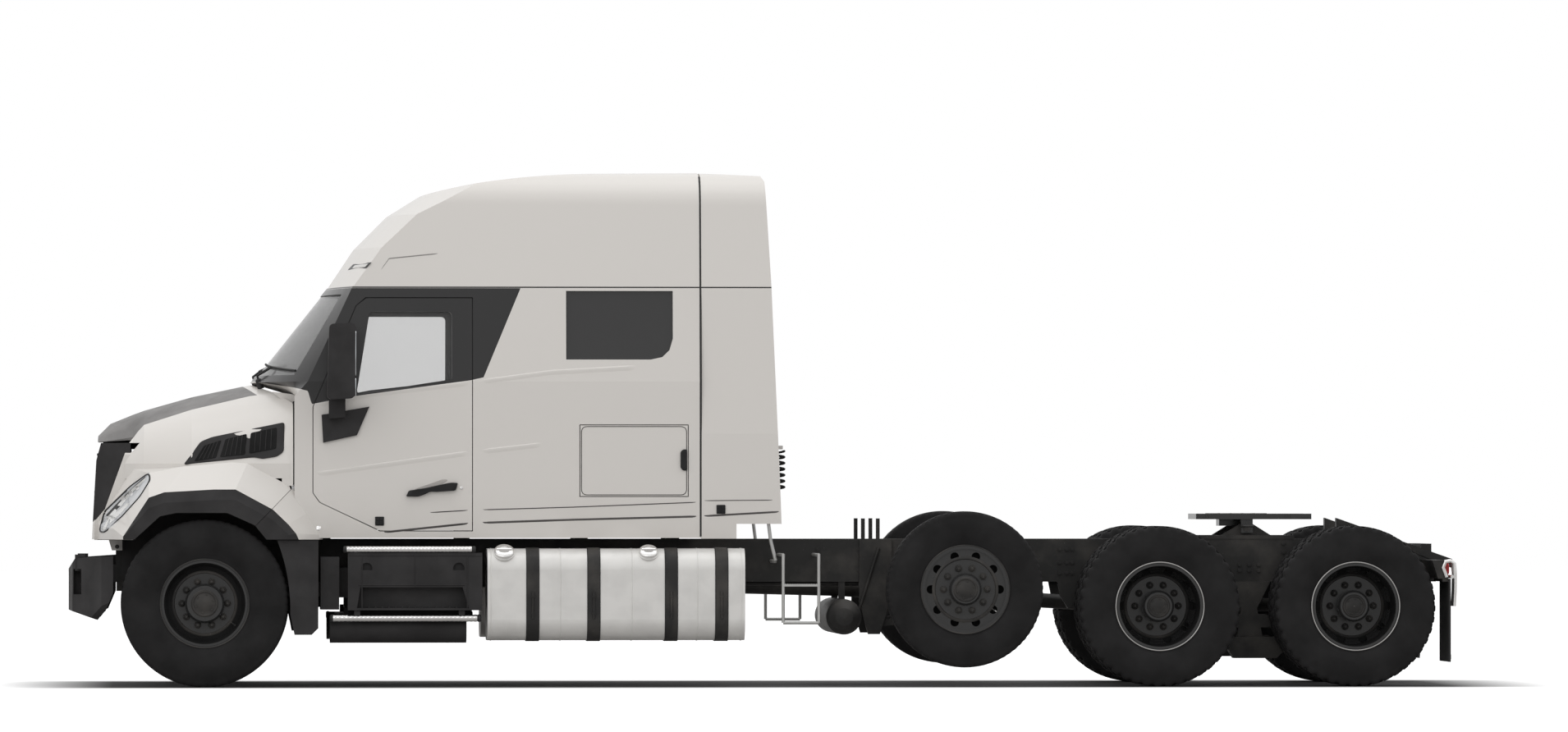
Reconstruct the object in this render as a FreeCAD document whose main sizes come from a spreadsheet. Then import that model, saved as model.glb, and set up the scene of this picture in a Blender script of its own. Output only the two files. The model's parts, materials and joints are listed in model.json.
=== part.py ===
import FreeCAD, Part
import math
import os
import Sketcher
from types import SimpleNamespace

# Conventional heavy-haul tractor: steer axle, lifted pusher axle, tandem drive axles.
# Row frame: +X rearward, +Y to the truck's right, +Z up, origin on the ground at the
# middle of the overall box.  Every station below is measured from the steer axle and
# moved by ORIGIN when it is placed.

SIZES = (
    # name, millimetres, what it is
    ("front_overhang", 915, "steer axle to the bumper's face"),
    ("rear_end", 8470, "steer axle to the tail of the frame"),
    # running gear
    ("steer_tyre_radius", 562, "loaded radius of the wide steer tyre"),
    ("steer_tyre_width", 422, "section of the steer tyre"),
    ("steer_wheel_y", 1030, "steer tyre's centre from the middle"),
    ("kingpin_y", 870, "kingpin from the middle"),
    ("kingpin_radius", 25, "kingpin"),
    ("steering_arm", 180, "kingpin to the track rod's pin"),
    ("pusher_x", 5099, "steer axle to the pusher axle"),
    ("pusher_tyre_radius", 525, "pusher tyre"),
    ("pusher_lift", 129, "pusher tyre above the ground, raised"),
    ("pusher_wheel_y", 1090, "pusher tyre's centre from the middle"),
    ("tandem_x", 7070, "steer axle to the middle of the tandem"),
    ("tandem_spacing", 1321, "between the two drive axles"),
    ("drive_tyre_radius", 540, "drive tyre"),
    ("drive_tyre_width", 280, "section of a drive or pusher tyre"),
    ("dual_spacing", 343, "between the two tyres of a pair"),
    ("drive_wheel_y", 918, "middle of the pair from the middle of the truck"),
    ("rim_seat_radius", 286, "bead seat of the rims"),
    ("rim_wall", 14, "rim barrel and disc"),
    ("rim_lip", 15, "height of the rim's flange"),
    ("hub_bore_radius", 45, "wheel bearing on its spindle"),
    ("running_gap", 0.1, "radial gap of a shaft in its bearing"),
    # frame
    ("rail_front", -600, "front end of the rails"),
    ("rail_rear", 8360, "rear end of the rails"),
    ("rail_top", 990, "top of the rails"),
    ("rail_height", 290, "rail section"),
    ("rail_outer_y", 432, "outer face of a rail's web"),
    ("rail_flange", 90, "rail flange"),
    ("rail_wall", 12, "rail web and flange"),
    ("ramp_top", 1133, "top of the tail ramps"),
    # cab and sleeper
    ("cab_bottom", 1000, "lower edge of the cab's skirt"),
    ("floor_bottom", 1060, "underside of the cab's floor"),
    ("cab_floor", 1110, "cab's floor"),
    ("waist_height", 1950, "top of the upright firewall"),
    ("cowl_height", 2050, "foot of the windscreen"),
    ("seam_height", 2693, "joint between cab and roof"),
    ("roof_top", 3466, "highest point of the roof"),
    ("cab_half_width", 1060, "cab at the waist"),
    ("seam_half_width", 1010, "cab at the roof joint"),
    ("firewall_x", 640, "firewall in the middle"),
    ("cab_corner_x", 600, "front corner of the cab's side"),
    ("screen_foot_x", 307, "foot of the windscreen in the middle"),
    ("screen_foot_side_x", 689, "foot of the windscreen at the pillar"),
    ("screen_head_x", 828, "head of the windscreen in the middle"),
    ("screen_head_side_x", 992, "head of the windscreen at the pillar"),
    ("cab_split_x", 1835, "joint between cab and sleeper"),
    ("sleeper_rear", 3323, "back wall of the sleeper"),
    ("cab_wall", 60, "cab wall and door, whole thickness"),
    ("glass_setback", 22, "glass below the cab's skin"),
    ("glass_wall", 8, "window glass"),
    ("panel_gap", 6, "gap round doors and lids"),
    # doors
    ("bay_front", 2518, "front edge of the luggage door"),
    ("bay_rear", 3240, "rear edge of the luggage door"),
    ("bay_bottom", 1281, "lower edge of the luggage door"),
    ("bay_top", 1756, "upper edge of the luggage door"),
    # hood
    ("hood_wall", 32, "hood shell"),
    ("hood_hinge_x", -590, "hood hinge"),
    ("hood_hinge_height", 940, "hood hinge above the ground"),
    # bumper
    ("bumper_bottom", 445, "bumper's lower edge"),
    ("bumper_top", 900, "bumper's upper edge"),
    ("bumper_wall", 60, "depth of the bumper's section"),
    # side equipment
    ("tank_front", 1892, "front of the fuel tank"),
    ("tank_rear", 3619, "rear of the fuel tank"),
    ("tank_bottom", 313, "underside of the fuel tank"),
    ("tank_top", 929, "top of the fuel tank"),
    ("tank_inner_y", 590, "fuel tank's inner side"),
    ("tank_outer_y", 1210, "fuel tank's outer side"),
    ("tank_corner", 140, "fuel tank's corner radius"),
    ("air_tank_radius", 120, "air tank"),
    # coupling
    ("fifth_wheel_height", 1162, "top of the fifth wheel"),
    ("fifth_wheel_half", 460, "half width of the top plate"),
    ("pivot_height", 1062, "fifth wheel pivot"),
    ("kingpin_bore", 25.5, "lock jaw's radius round the trailer's pin"),
)


class Size:
    """A length: its value in millimetres and the expression that gives it."""

    def __init__(self, value, text):
        self.value = value
        self.text = text

    def __add__(self, other):
        other = size(other)
        return Size(self.value + other.value, "(%s + %s)" % (self.text, other.text))

    def __sub__(self, other):
        other = size(other)
        return Size(self.value - other.value, "(%s - %s)" % (self.text, other.text))

    def __mul__(self, factor):
        factor = size(factor)
        return Size(self.value * factor.value, "(%s * %s)" % (self.text, factor.text))

    def __truediv__(self, factor):
        factor = size(factor)
        return Size(self.value / factor.value, "(%s / %s)" % (self.text, factor.text))

    def __radd__(self, other):
        return size(other) + self

    def __rsub__(self, other):
        return size(other) - self

    def __rmul__(self, other):
        return size(other) * self

    def __neg__(self):
        return size(0) - self


def size(item):
    """Any number or Size as a Size."""
    if isinstance(item, Size):
        return item
    return Size(float(item), "(%.6f)" % item if item < 0 else "%.6f" % item)


doc = FreeCAD.newDocument("Tractor")
sheet = doc.addObject("Spreadsheet::Sheet", "Sizes")
for row, (alias, value, note) in enumerate(SIZES, start=1):
    sheet.set("A%d" % row, alias)
    sheet.set("B%d" % row, str(value))
    sheet.set("C%d" % row, note)
    sheet.setAlias("B%d" % row, alias)
doc.recompute()
S = SimpleNamespace(**{name: Size(float(value), "Sizes." + name) for name, value, note in SIZES})

ORIGIN = (S.front_overhang - S.rear_end) / 2
NODES = {}
LEFT, RIGHT = -1, 1


# ---- building blocks ------------------------------------------------------------

def bind(item, prop, value):
    """Set a property to a number, or bind it to the expression of a Size."""
    if isinstance(value, Size):
        item.setExpression(prop, value.text)
    else:
        target = item
        *path, last = prop.split(".")
        if path:
            item.setExpression(prop, size(value).text)
        else:
            setattr(target, last, value)


def place(item, x, y, z):
    """Put an object at a station from the steer axle."""
    bind(item, "Placement.Base.x", x + ORIGIN)
    bind(item, "Placement.Base.y", size(y))
    bind(item, "Placement.Base.z", size(z))


def block(name, x, y, z):
    """A box between two stations along each axis."""
    box = doc.addObject("Part::Box", name)
    for prop, (low, high) in (("Length", x), ("Width", y), ("Height", z)):
        bind(box, prop, size(high) - size(low))
    place(box, size(x[0]), y[0], z[0])
    return box


AXES = {
    "x": FreeCAD.Rotation(FreeCAD.Vector(0, 0, 1), FreeCAD.Vector(1, 0, 0)),
    "y": FreeCAD.Rotation(FreeCAD.Vector(0, 0, 1), FreeCAD.Vector(0, 1, 0)),
    "z": FreeCAD.Rotation(),
}


def rod(name, axis, start, radius, length):
    """A round bar from its start along a row axis."""
    bar = doc.addObject("Part::Cylinder", name)
    bar.Placement = FreeCAD.Placement(FreeCAD.Vector(), AXES[axis])
    bind(bar, "Radius", size(radius))
    bind(bar, "Height", size(length))
    place(bar, size(start[0]), start[1], start[2])
    return bar


class Through:
    """A point that the arc to the next corner passes through."""

    def __init__(self, across, up):
        self.across = across
        self.up = up


def draw(sketch, outline):
    """Draw a closed outline of lines and arcs, each corner tied to its sizes.

    An item is a corner (across, up) or a corner with a rounding (across, up, radius),
    and a Through between two corners makes the edge there an arc.
    """
    corners = [item for item in outline if not isinstance(item, Through)]
    bends = {}
    index = -1
    for item in outline:
        if isinstance(item, Through):
            bends[index] = item
        else:
            index += 1
    count = len(corners)
    points = [FreeCAD.Vector(size(c[0]).value, size(c[1]).value, 0) for c in corners]
    starts = {}
    ends = {}
    for i in range(count):
        first, last = points[i], points[(i + 1) % count]
        if i in bends:
            middle = FreeCAD.Vector(size(bends[i].across).value, size(bends[i].up).value, 0)
            arc = Part.Arc(first, middle, last)
            edge = sketch.addGeometry(arc)
            turned = sketch.getPoint(edge, 1).distanceToPoint(first) > 1e-6
            starts[i], ends[i] = (edge, 2 if turned else 1), (edge, 1 if turned else 2)
        else:
            edge = sketch.addGeometry(Part.LineSegment(first, last))
            starts[i], ends[i] = (edge, 1), (edge, 2)
    for i in range(count):
        sketch.addConstraint(Sketcher.Constraint("Coincident", *ends[i], *starts[(i + 1) % count]))
    for i, corner in enumerate(corners):
        for kind, value in (("DistanceX", size(corner[0])), ("DistanceY", size(corner[1]))):
            number = sketch.addConstraint(Sketcher.Constraint(kind, -1, 1, *starts[i], value.value))
            if isinstance(corner[0 if kind == "DistanceX" else 1], Size):
                sketch.setExpression("Constraints[%d]" % number, value.text)
    for i in bends:
        radius = sketch.Geometry[starts[i][0]].Radius
        sketch.addConstraint(Sketcher.Constraint("Radius", starts[i][0], radius))
    return [(point, corner[2]) for point, corner in zip(points, corners) if len(corner) > 2]


PLANES = {"side": "XZ_Plane", "plan": "XY_Plane", "front": "YZ_Plane"}


def new_sketch(body, plane, name, offset=None):
    """A sketch on one of the body's own planes, moved along the plane's normal."""
    sketch = body.newObject("Sketcher::SketchObject", name)
    support = [f for f in body.Origin.OriginFeatures if f.Role == PLANES[plane]][0]
    sketch.AttachmentSupport = [(support, "")]
    sketch.MapMode = "FlatFace"
    if offset is not None:
        bind(sketch, "AttachmentOffset.Base.z", size(offset))
    return sketch


def span(body, plane, low, high):
    """Place a body so that a pad of the outline fills low to high; gives the length."""
    low, high = size(low), size(high)
    if plane == "side":
        place(body, size(0), high, 0)
    elif plane == "plan":
        place(body, size(0), 0, low)
    else:
        place(body, low, 0, 0)
    return high - low


def round_corners(body, plane, rounded):
    """Fillet the edges that stand on the rounded corners of an outline."""
    across = {"side": (0, 2), "plan": (0, 1), "front": (1, 2)}[plane]
    for radius in sorted({size(r).value for point, r in rounded}):
        doc.recompute()
        solid = body.Tip
        names = []
        for number, edge in enumerate(solid.Shape.Edges, start=1):
            ends = [corner.Point for corner in edge.Vertexes]
            if len(ends) < 2:
                continue
            for point, r in rounded:
                if size(r).value != radius:
                    continue
                near = all(abs(end[across[0]] - point.x) < 0.01 and abs(end[across[1]] - point.y) < 0.01
                           for end in ends)
                if near:
                    names.append("Edge%d" % number)
        fillet = body.newObject("PartDesign::Fillet", body.Name + "_rounds")
        fillet.Base = (solid, names)
        chosen = [r for point, r in rounded if size(r).value == radius][0]
        bind(fillet, "Radius", size(chosen))
        body.Tip = fillet


def prism(name, plane, outline, low, high):
    """A padded outline between two stations across its plane."""
    body = doc.addObject("PartDesign::Body", name)
    length = span(body, plane, low, high)
    sketch = new_sketch(body, plane, name + "_outline")
    rounded = draw(sketch, outline)
    pad = body.newObject("PartDesign::Pad", name + "_pad")
    pad.Profile = sketch
    bind(pad, "Length", length)
    if rounded:
        round_corners(body, plane, rounded)
    return body


TURN_PLANES = {"x": ("plan", "H_Axis"), "y": ("plan", "V_Axis"), "z": ("side", "V_Axis")}


def turned(name, axis, centre, profile):
    """A profile of (along, radius) corners turned about a row axis at its centre."""
    body = doc.addObject("PartDesign::Body", name)
    plane, about = TURN_PLANES[axis]
    place(body, size(centre[0]), centre[1], centre[2])
    sketch = new_sketch(body, plane, name + "_profile")
    swap = axis != "x"
    outline = []
    for item in profile:
        if isinstance(item, Through):
            outline.append(Through(item.up, item.across) if swap else item)
        else:
            outline.append((item[1], item[0]) if swap else item)
    draw(sketch, outline)
    turn = body.newObject("PartDesign::Revolution", name + "_turn")
    turn.Profile = sketch
    turn.ReferenceAxis = (sketch, [about])
    turn.Angle = 360
    return body


HAND_HOLES = 10     # in a pusher wheel and in the outer wheel of a pair


def ring_of_holes(body, pitch_radius, hole_radius, count, depth):
    """Drill a circle of holes through a wheel that turns about Y."""
    sketch = new_sketch(body, "side", body.Name + "_hole")
    circle = Part.Circle(FreeCAD.Vector(size(pitch_radius).value, 0, 0), FreeCAD.Vector(0, 0, 1),
                         size(hole_radius).value)
    sketch.addGeometry(circle)
    sketch.addConstraint(Sketcher.Constraint("PointOnObject", 0, 3, -1))
    reach = sketch.addConstraint(Sketcher.Constraint("DistanceX", -1, 1, 0, 3, size(pitch_radius).value))
    sketch.setExpression("Constraints[%d]" % reach, size(pitch_radius).text)
    bore = sketch.addConstraint(Sketcher.Constraint("Radius", 0, size(hole_radius).value))
    sketch.setExpression("Constraints[%d]" % bore, size(hole_radius).text)
    pocket = body.newObject("PartDesign::Pocket", body.Name + "_drill")
    pocket.Profile = sketch
    pocket.SideType = "Symmetric"
    bind(pocket, "Length", size(depth))
    pattern = body.newObject("PartDesign::PolarPattern", body.Name + "_ring")
    pattern.Originals = [pocket]
    pattern.Axis = (sketch, ["N_Axis"])
    pattern.Angle = 360
    pattern.Occurrences = count
    body.Tip = pattern


def strut(name, start, end, radius):
    """A round bar between two points."""
    bar = doc.addObject("Part::Cylinder", name)
    way = FreeCAD.Vector(*end) - FreeCAD.Vector(*start)
    bind(bar, "Radius", size(radius))
    bar.Height = way.Length
    bar.Placement = FreeCAD.Placement(FreeCAD.Vector(), FreeCAD.Rotation(FreeCAD.Vector(0, 0, 1), way))
    place(bar, size(start[0]), start[1], start[2])
    return bar


def cut(name, base, tools):
    """The base without its tools."""
    for number, tool in enumerate(tools, start=1):
        step = doc.addObject("Part::Cut", "%s_cut_%d" % (name, number))
        step.Base = base
        step.Tool = tool
        base = step
    return base


def fuse(name, shapes):
    """One solid of shapes that touch."""
    joined = doc.addObject("Part::MultiFuse", name)
    joined.Shapes = shapes
    joined.Refine = True
    return joined


def common(name, shapes):
    """What the shapes share."""
    shared = doc.addObject("Part::MultiCommon", name)
    shared.Shapes = shapes
    return shared


def group(name, shapes):
    """Separate solids kept together in one node."""
    bundle = doc.addObject("Part::Compound", name)
    bundle.Links = shapes
    return bundle


def mirror(name, item):
    """The same piece on the other side of the truck."""
    other = doc.addObject("Part::Mirroring", name)
    other.Source = item
    other.Normal = FreeCAD.Vector(0, 1, 0)
    return other


def both(name, item):
    """A piece and its mirror image in one node."""
    return group(name, [item, mirror(name + "_other", item)])


def node(name, item):
    """Keep an object as a named sub-part."""
    item.Label = name
    NODES[name] = item
    return item


# ---- frame and engine -------------------------------------------------------------

# station of each cross member along the frame
CROSS_MEMBERS = (-590, 1650, 3000, 4400, 5600, 6250, 7010, 7900, 8260)


def frame_fittings():
    """Posts, bracket plates, pipes and tail lamp bars bolted to the rails."""
    top, outer = S.rail_top, S.rail_outer_y
    under = top - S.rail_height
    left = []
    for number, station in enumerate((4445, 4546), start=1):
        left.append(block("deck_post_%d" % number, (size(station), size(station) + 25),
                          (-outer + 2, -outer + 37), (top - 10, 1130)))
    left.append(prism("lift_bracket", "side",
                      [(4430, 985), (4650, 985), (4650, 600), (4570, 345), (4490, 345), (4430, 560)],
                      -outer - 30, -outer))
    left.append(strut("lift_rod", (4560, -470, 928), (4430, -470, 517), 12))
    left.append(rod("air_pipe", "x", (3640, -370, under - 13), 14, 790))
    left.append(prism("beam_bracket", "side",
                      [(5780, under), (5990, under), (5960, 560), (5850, 520), (5800, 600)],
                      -outer, -outer + 52))
    left.append(prism("lamp_bar", "side", [(8250, 850), (8332, 850), (8332, 725), (8290, 725)],
                      -1180, -outer))
    left.append(block("flap_hanger", (8320, 8360), (-1180, -660), (705, 730)))
    return left + [mirror(item.Name + "_other", item) for item in left]


def build_frame():
    """Channel rails with cross members, cab mounts and the tail ramps."""
    top, bottom = S.rail_top, S.rail_top - S.rail_height
    outer, inner = S.rail_outer_y, S.rail_outer_y - S.rail_flange
    web = outer - S.rail_wall
    channel = [(-outer, bottom), (-inner, bottom), (-inner, bottom + S.rail_wall),
               (-web, bottom + S.rail_wall), (-web, top - S.rail_wall),
               (-inner, top - S.rail_wall), (-inner, top), (-outer, top)]
    rail = prism("rail", "front", channel, S.rail_front, S.rail_rear)
    ramp_foot = S.rail_rear - 380
    taper = prism("rail_taper", "side",
                  [(ramp_foot, top), (S.rail_rear + 20, top - 170), (S.rail_rear + 20, top + 10),
                   (ramp_foot, top + 10)], -outer - 10, outer + 10)
    notch = block("rail_notch", (S.rail_front - 10, size(-475)), (-outer - 10, outer + 10),
                  (top - 15, top + 10))
    rail_pair = [cut("tapered_rail", rail, [taper, notch])]
    rail_pair.append(mirror("rail_other", rail_pair[0]))
    members = []
    for number, station in enumerate(CROSS_MEMBERS, start=1):
        members.append(block("cross_member_%d" % number, (size(station), size(station) + 70),
                             (-web, web), (bottom + 110, top - S.rail_wall - 20)))
    ramp = prism("ramp", "side",
                 [(ramp_foot - 300, top), (ramp_foot, top), (S.rear_end, top - 136 - 60),
                  (S.rear_end, top - 136), (ramp_foot - 300, S.ramp_top)], -outer, -inner)
    ramps = [ramp, mirror("ramp_other", ramp)]
    pin = rod("hood_pin", "y", (S.hood_hinge_x, -630, S.hood_hinge_height), 14,
              630 - S.rail_outer_y)
    mounts = [pin, mirror("hood_pin_other", pin)]
    for number, station in enumerate((760, 1700, 2500, 3120), start=1):
        pad = block("cab_mount_%d" % number, (size(station), size(station) + 90),
                    (-outer + 5, -inner + 5), (top, S.floor_bottom))
        mounts += [pad, mirror("cab_mount_other_%d" % number, pad)]
    fittings = frame_fittings()
    node("frame", fuse("frame", rail_pair + members + ramps + mounts + fittings))


def build_engine():
    """Engine and gearbox as one plain block on its mounts, and the radiator ahead of it."""
    side = S.rail_outer_y - S.rail_flange - 12
    engine = block("engine", (-330, 520), (-side, side), (575, 1450))
    gearbox = block("gearbox", (520, 1480), (-230, 230), (600, 985))
    mounts = []
    for number, station in enumerate((-250, 400), start=1):
        mounts.append(block("engine_mount_%d" % number, (station, station + 90),
                            (-side - 80, side + 80), (S.rail_top, S.rail_top + 40)))
    node("engine_block", fuse("engine_block", [engine, gearbox] + mounts))
    core = block("radiator_core", (-470, -360), (-400, 400), (S.rail_top, 1560))
    node("radiator", core)


def build_bumper():
    """Faceted steel bumper with slots in its sides, a crown step and two brackets."""
    face = -S.front_overhang
    wall = S.bumper_wall
    end = -612
    outside = [(face, -640), (face + 28, -860), (face + 225, -1150), (end, -1195),
               (end, -1140), (face + 240, -1095), (face + 28 + wall, -840), (face + wall, -620),
               (face + wall, 620), (face + 28 + wall, 840), (face + 240, 1095), (end, 1140),
               (end, 1195), (face + 225, 1150), (face + 28, 860), (face, 640)]
    band = prism("bumper_band", "plan", outside, S.bumper_bottom - 10, S.bumper_top)
    profile = prism("bumper_profile", "side",
                    [(face, 517), (face, 793), (face + 45, 862), (-580, 881), (-600, 660),
                     (-690, S.bumper_bottom), (-722, S.bumper_bottom + 7)], -1300, 1300)
    under = prism("bumper_under", "front", [(-1000, 430), (-1300, 430), (-1300, 660)],
                  face - 20, -560)
    slot = prism("bumper_slot", "side", [(-880, 621), (-827, 621), (-827, 792), (-880, 792)],
                 -1300, -780)
    shaped = cut("bumper_shaped", common("bumper_shell", [band, profile]),
                 [under, mirror("bumper_under_other", under), slot, mirror("bumper_slot_other", slot)])
    crown = block("bumper_crown", (-870, -800), (-900, -700), (780, 888))
    bracket = block("bumper_bracket", (face + wall - 5, S.rail_front),
                    (-S.rail_outer_y, -S.rail_outer_y + 70), (S.rail_top - 290, S.rail_top - 175))
    node("front_bumper", fuse("front_bumper", [
        shaped, crown, mirror("bumper_crown_other", crown), bracket,
        mirror("bumper_bracket_other", bracket)]))


# ---- front axle and steering --------------------------------------------------------

AXLE_BOSS = 82      # half height of the axle's kingpin boss


def build_front_axle():
    """Dropped beam with an upright boss at each end, and its leaf springs."""
    centre = S.steer_tyre_radius
    pin = S.kingpin_y
    beam = [(-pin, centre - 55), (-pin + 90, centre - 60), (-600, 430), (600, 430),
            (pin - 90, centre - 60), (pin, centre - 55), (pin, centre + 45),
            (pin - 110, centre + 45), (600, 530), (-600, 530), (-pin + 110, centre + 45),
            (-pin, centre + 45)]
    bar = prism("axle_beam", "front", beam, -42, 42)
    bosses, bores = [], []
    for side in (LEFT, RIGHT):
        bosses.append(rod("axle_boss", "z", (0, pin * side, centre - AXLE_BOSS), 48, 2 * AXLE_BOSS))
        bores.append(rod("axle_bore", "z", (0, pin * side, centre - AXLE_BOSS - 10),
                         S.kingpin_radius + S.running_gap, 2 * AXLE_BOSS + 20))
    body = fuse("axle_body", [bar] + bosses)
    node("front_axle", cut("front_axle", body, bores))

    spring_y = (-470, -385)
    leaves = prism("leaves", "side",
                   [(-560, 655), Through(0, 550), (640, 655), (640, 690), Through(0, 610), (-560, 690)],
                   *spring_y)
    seat = block("spring_seat", (-70, 70), spring_y, (530, 570))
    hangers = [block("front_hanger", (-595, -525), spring_y, (640, S.rail_top - S.rail_height)),
               block("rear_hanger", (620, 690), spring_y, (640, S.rail_top - S.rail_height))]
    node("front_springs", both("front_springs", fuse("spring_left", [leaves, seat] + hangers)))


def build_knuckle(side, name):
    """Steering knuckle: ears round the axle's boss, kingpin, spindle and steering arm."""
    centre = S.steer_tyre_radius
    pin = S.kingpin_y
    ear = 46
    low, high = centre - AXLE_BOSS - 2, centre + AXLE_BOSS + 2
    web = block(name + "_web", (-60, 60), (-pin - 95, -pin - 56), (low - ear, high + ear))
    ears = [block(name + "_ear", (-48, 48), (-pin - 95, -pin + 45), (high, high + ear)),
            block(name + "_ear", (-48, 48), (-pin - 95, -pin + 45), (low - ear, low))]
    pivot = rod(name + "_kingpin", "z", (0, -pin, low - ear), S.kingpin_radius, high - low + 2 * ear)
    spindle = rod(name + "_spindle", "y", (0, -pin - 250, centre),
                  S.hub_bore_radius - S.running_gap, 200)
    arm = block(name + "_arm", (0, S.steering_arm + 30), (-pin - 28, -pin + 28), (low - ear, low - 8))
    ball = rod(name + "_ball", "z", (S.steering_arm, -pin, low - 10), 16, 68)
    left = fuse(name + "_left", [web, pivot, spindle, arm, ball] + ears)
    node(name, left if side == LEFT else mirror(name, left))


def build_tie_rod():
    """Track rod between the two steering arms."""
    centre = S.steer_tyre_radius
    pin = S.kingpin_y
    low = centre - AXLE_BOSS - 2
    bar = rod("track_rod", "y", (S.steering_arm, -pin + 30, low + 26), 20, 2 * pin - 60)
    eyes, bores = [], []
    for side in (LEFT, RIGHT):
        eyes.append(rod("track_rod_eye", "z", (S.steering_arm, pin * side, low + 4), 34, 46))
        bores.append(rod("track_rod_bore", "z", (S.steering_arm, pin * side, low),
                         16.3 if side == LEFT else 22, 60))
    node("tie_rod", cut("tie_rod", fuse("tie_rod_body", [bar] + eyes), bores))


# ---- wheels ---------------------------------------------------------------------------

def tyre(name, centre, radius, width, seat):
    """A tyre with rounded shoulders, turned about its axle."""
    half = width / 2
    return turned(name, "y", centre,
                  [(-half * 0.74, seat), (half * 0.74, seat), (half * 0.74, seat + S.rim_lip),
                   Through(half, (radius + seat) / 2),
                   (half * 0.9, radius - 30), (half * 0.8, radius), (-half * 0.8, radius),
                   (-half * 0.9, radius - 30), Through(-half, (radius + seat) / 2),
                   (-half * 0.74, seat + S.rim_lip)])


def rim(name, centre, half, disc, outward, hub_radius, hub_span, bore, holes):
    """A rim barrel with lips, its disc and its hub, turned about the axle."""
    seat, wall, lip = S.rim_seat_radius, S.rim_wall, S.rim_lip
    d = disc * outward
    near, far = d - wall / 2, d + wall / 2
    barrel = turned(name, "y", centre,
                    [(-half - wall, seat - wall), (near, seat - wall), (near, hub_radius - 5),
                     (far, hub_radius - 5), (far, seat - wall), (half + wall, seat - wall),
                     (half + wall, seat + lip), (half, seat + lip), (half, seat), (-half, seat),
                     (-half, seat + lip), (-half - wall, seat + lip)])
    if holes:
        ring_of_holes(barrel, 231, 29, holes, 700)
    start, end = hub_span
    hub = turned(name + "_hub", "y", centre,
                 [(start * outward, bore), (end[0] * outward, bore), (end[0] * outward, 0),
                  (end[1] * outward, 0), (end[1] * outward, hub_radius - 14),
                  (end[1] * outward - 18 * outward, hub_radius), (start * outward, hub_radius)])
    return barrel, hub


def build_single_wheel(side, name, centre, radius, width, disc, hub_radius, hub_span, holes):
    """Tyre and wheel of the steer axle or the pusher, with the hub on its spindle."""
    left_centre = (centre[0], -centre[1], centre[2])
    rubber = tyre(name + "_tyre", left_centre, radius, width, S.rim_seat_radius)
    barrel, hub = rim(name + "_wheel", left_centre, width * 0.37, disc, LEFT, size(hub_radius), hub_span,
                      S.hub_bore_radius, holes)
    metal = fuse(name + "_wheel", [barrel, hub])
    for label, item in ((name + "_tyre", rubber), (name + "_wheel", metal)):
        node(label, item if side == LEFT else mirror(label, item))


def build_dual_wheel(side, name, station):
    """Twin tyres on two rims bolted back to back on one hub."""
    axle = S.drive_tyre_radius
    offset = S.dual_spacing / 2
    half = S.drive_tyre_width * 0.37
    rubber, metal = [], []
    for place_name, along in (("outer", -S.drive_wheel_y - offset), ("inner", -S.drive_wheel_y + offset)):
        centre = (station, along, axle)
        rubber.append(tyre("%s_tyre_%s" % (name, place_name), centre, S.drive_tyre_radius,
                           S.drive_tyre_width, S.rim_seat_radius))
        outward = 1 if place_name == "outer" else -1
        seat, wall, lip = S.rim_seat_radius, S.rim_wall, S.rim_lip
        dish = [(-half - wall, seat - wall), (half - 45, seat - wall), (offset - wall, 222),
                (offset - wall, 100), (offset, 100), (offset, 232), (half - 10, seat - wall),
                (half + wall, seat - wall), (half + wall, seat + lip), (half, seat + lip),
                (half, seat), (-half, seat), (-half, seat + lip), (-half - wall, seat + lip)]
        barrel = turned("%s_rim_%s" % (name, place_name), "y", centre,
                        [(along_rim * outward, radius) for along_rim, radius in dish])
        if place_name == "outer":
            ring_of_holes(barrel, 235, 28, HAND_HOLES, 700)
        metal.append(barrel)
    hub = turned(name + "_hub", "y", (station, -S.drive_wheel_y, axle),
                 [(170, S.hub_bore_radius + 10), (-105, S.hub_bore_radius + 10), (-105, 0),
                  (-175, 0), (-175, 92), (-160, 106), (20, 106), (20, 200), (170, 200)])
    metal.append(hub)
    for label, item in ((name + "_tyres", group(name + "_tyres", rubber)),
                        (name + "_rims", fuse(name + "_rims", metal))):
        node(label, item if side == LEFT else mirror(label, item))


# ---- rear axles, suspension and coupling ----------------------------------------------

def build_pusher_axle():
    """Lifted dead axle with its spindles and hangers."""
    x, height = S.pusher_x, S.pusher_lift + S.pusher_tyre_radius
    parts = [prism("pusher_beam", "front",
                   [(-1000, height - 60), (-900, height - 60), (-790, height - 234),
                    (790, height - 234), (900, height - 60), (1000, height - 60),
                    (1000, height + 60), (880, height + 60), (740, height - 134),
                    (-740, height - 134), (-880, height + 60), (-1000, height + 60)],
                   x - 50, x + 50)]
    for side in (LEFT, RIGHT):
        start = -1170 if side == LEFT else 970
        parts.append(rod("pusher_spindle", "y", (x, start, height), S.hub_bore_radius - S.running_gap, 200))
    arms = []
    for number, y in enumerate((-432, 372), start=1):
        hanger = prism("pusher_hanger_%d" % number, "side",
                       [(x - 560, 400), (x - 500, 400), (x - 400, S.rail_top - S.rail_height),
                        (x - 600, S.rail_top - S.rail_height)], y, y + 60)
        arm = prism("pusher_arm_%d" % number, "side",
                    [(x - 560, 420), (x - 500, 400), (x + 60, height - 200), (x + 60, height - 100),
                     (x - 60, height - 100)], y, y + 60)
        arms += [hanger, arm]
    node("pusher_axle", fuse("pusher_axle", parts + arms))


DRIVE_SIDES = (("front", -0.5), ("rear", 0.5))


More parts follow.
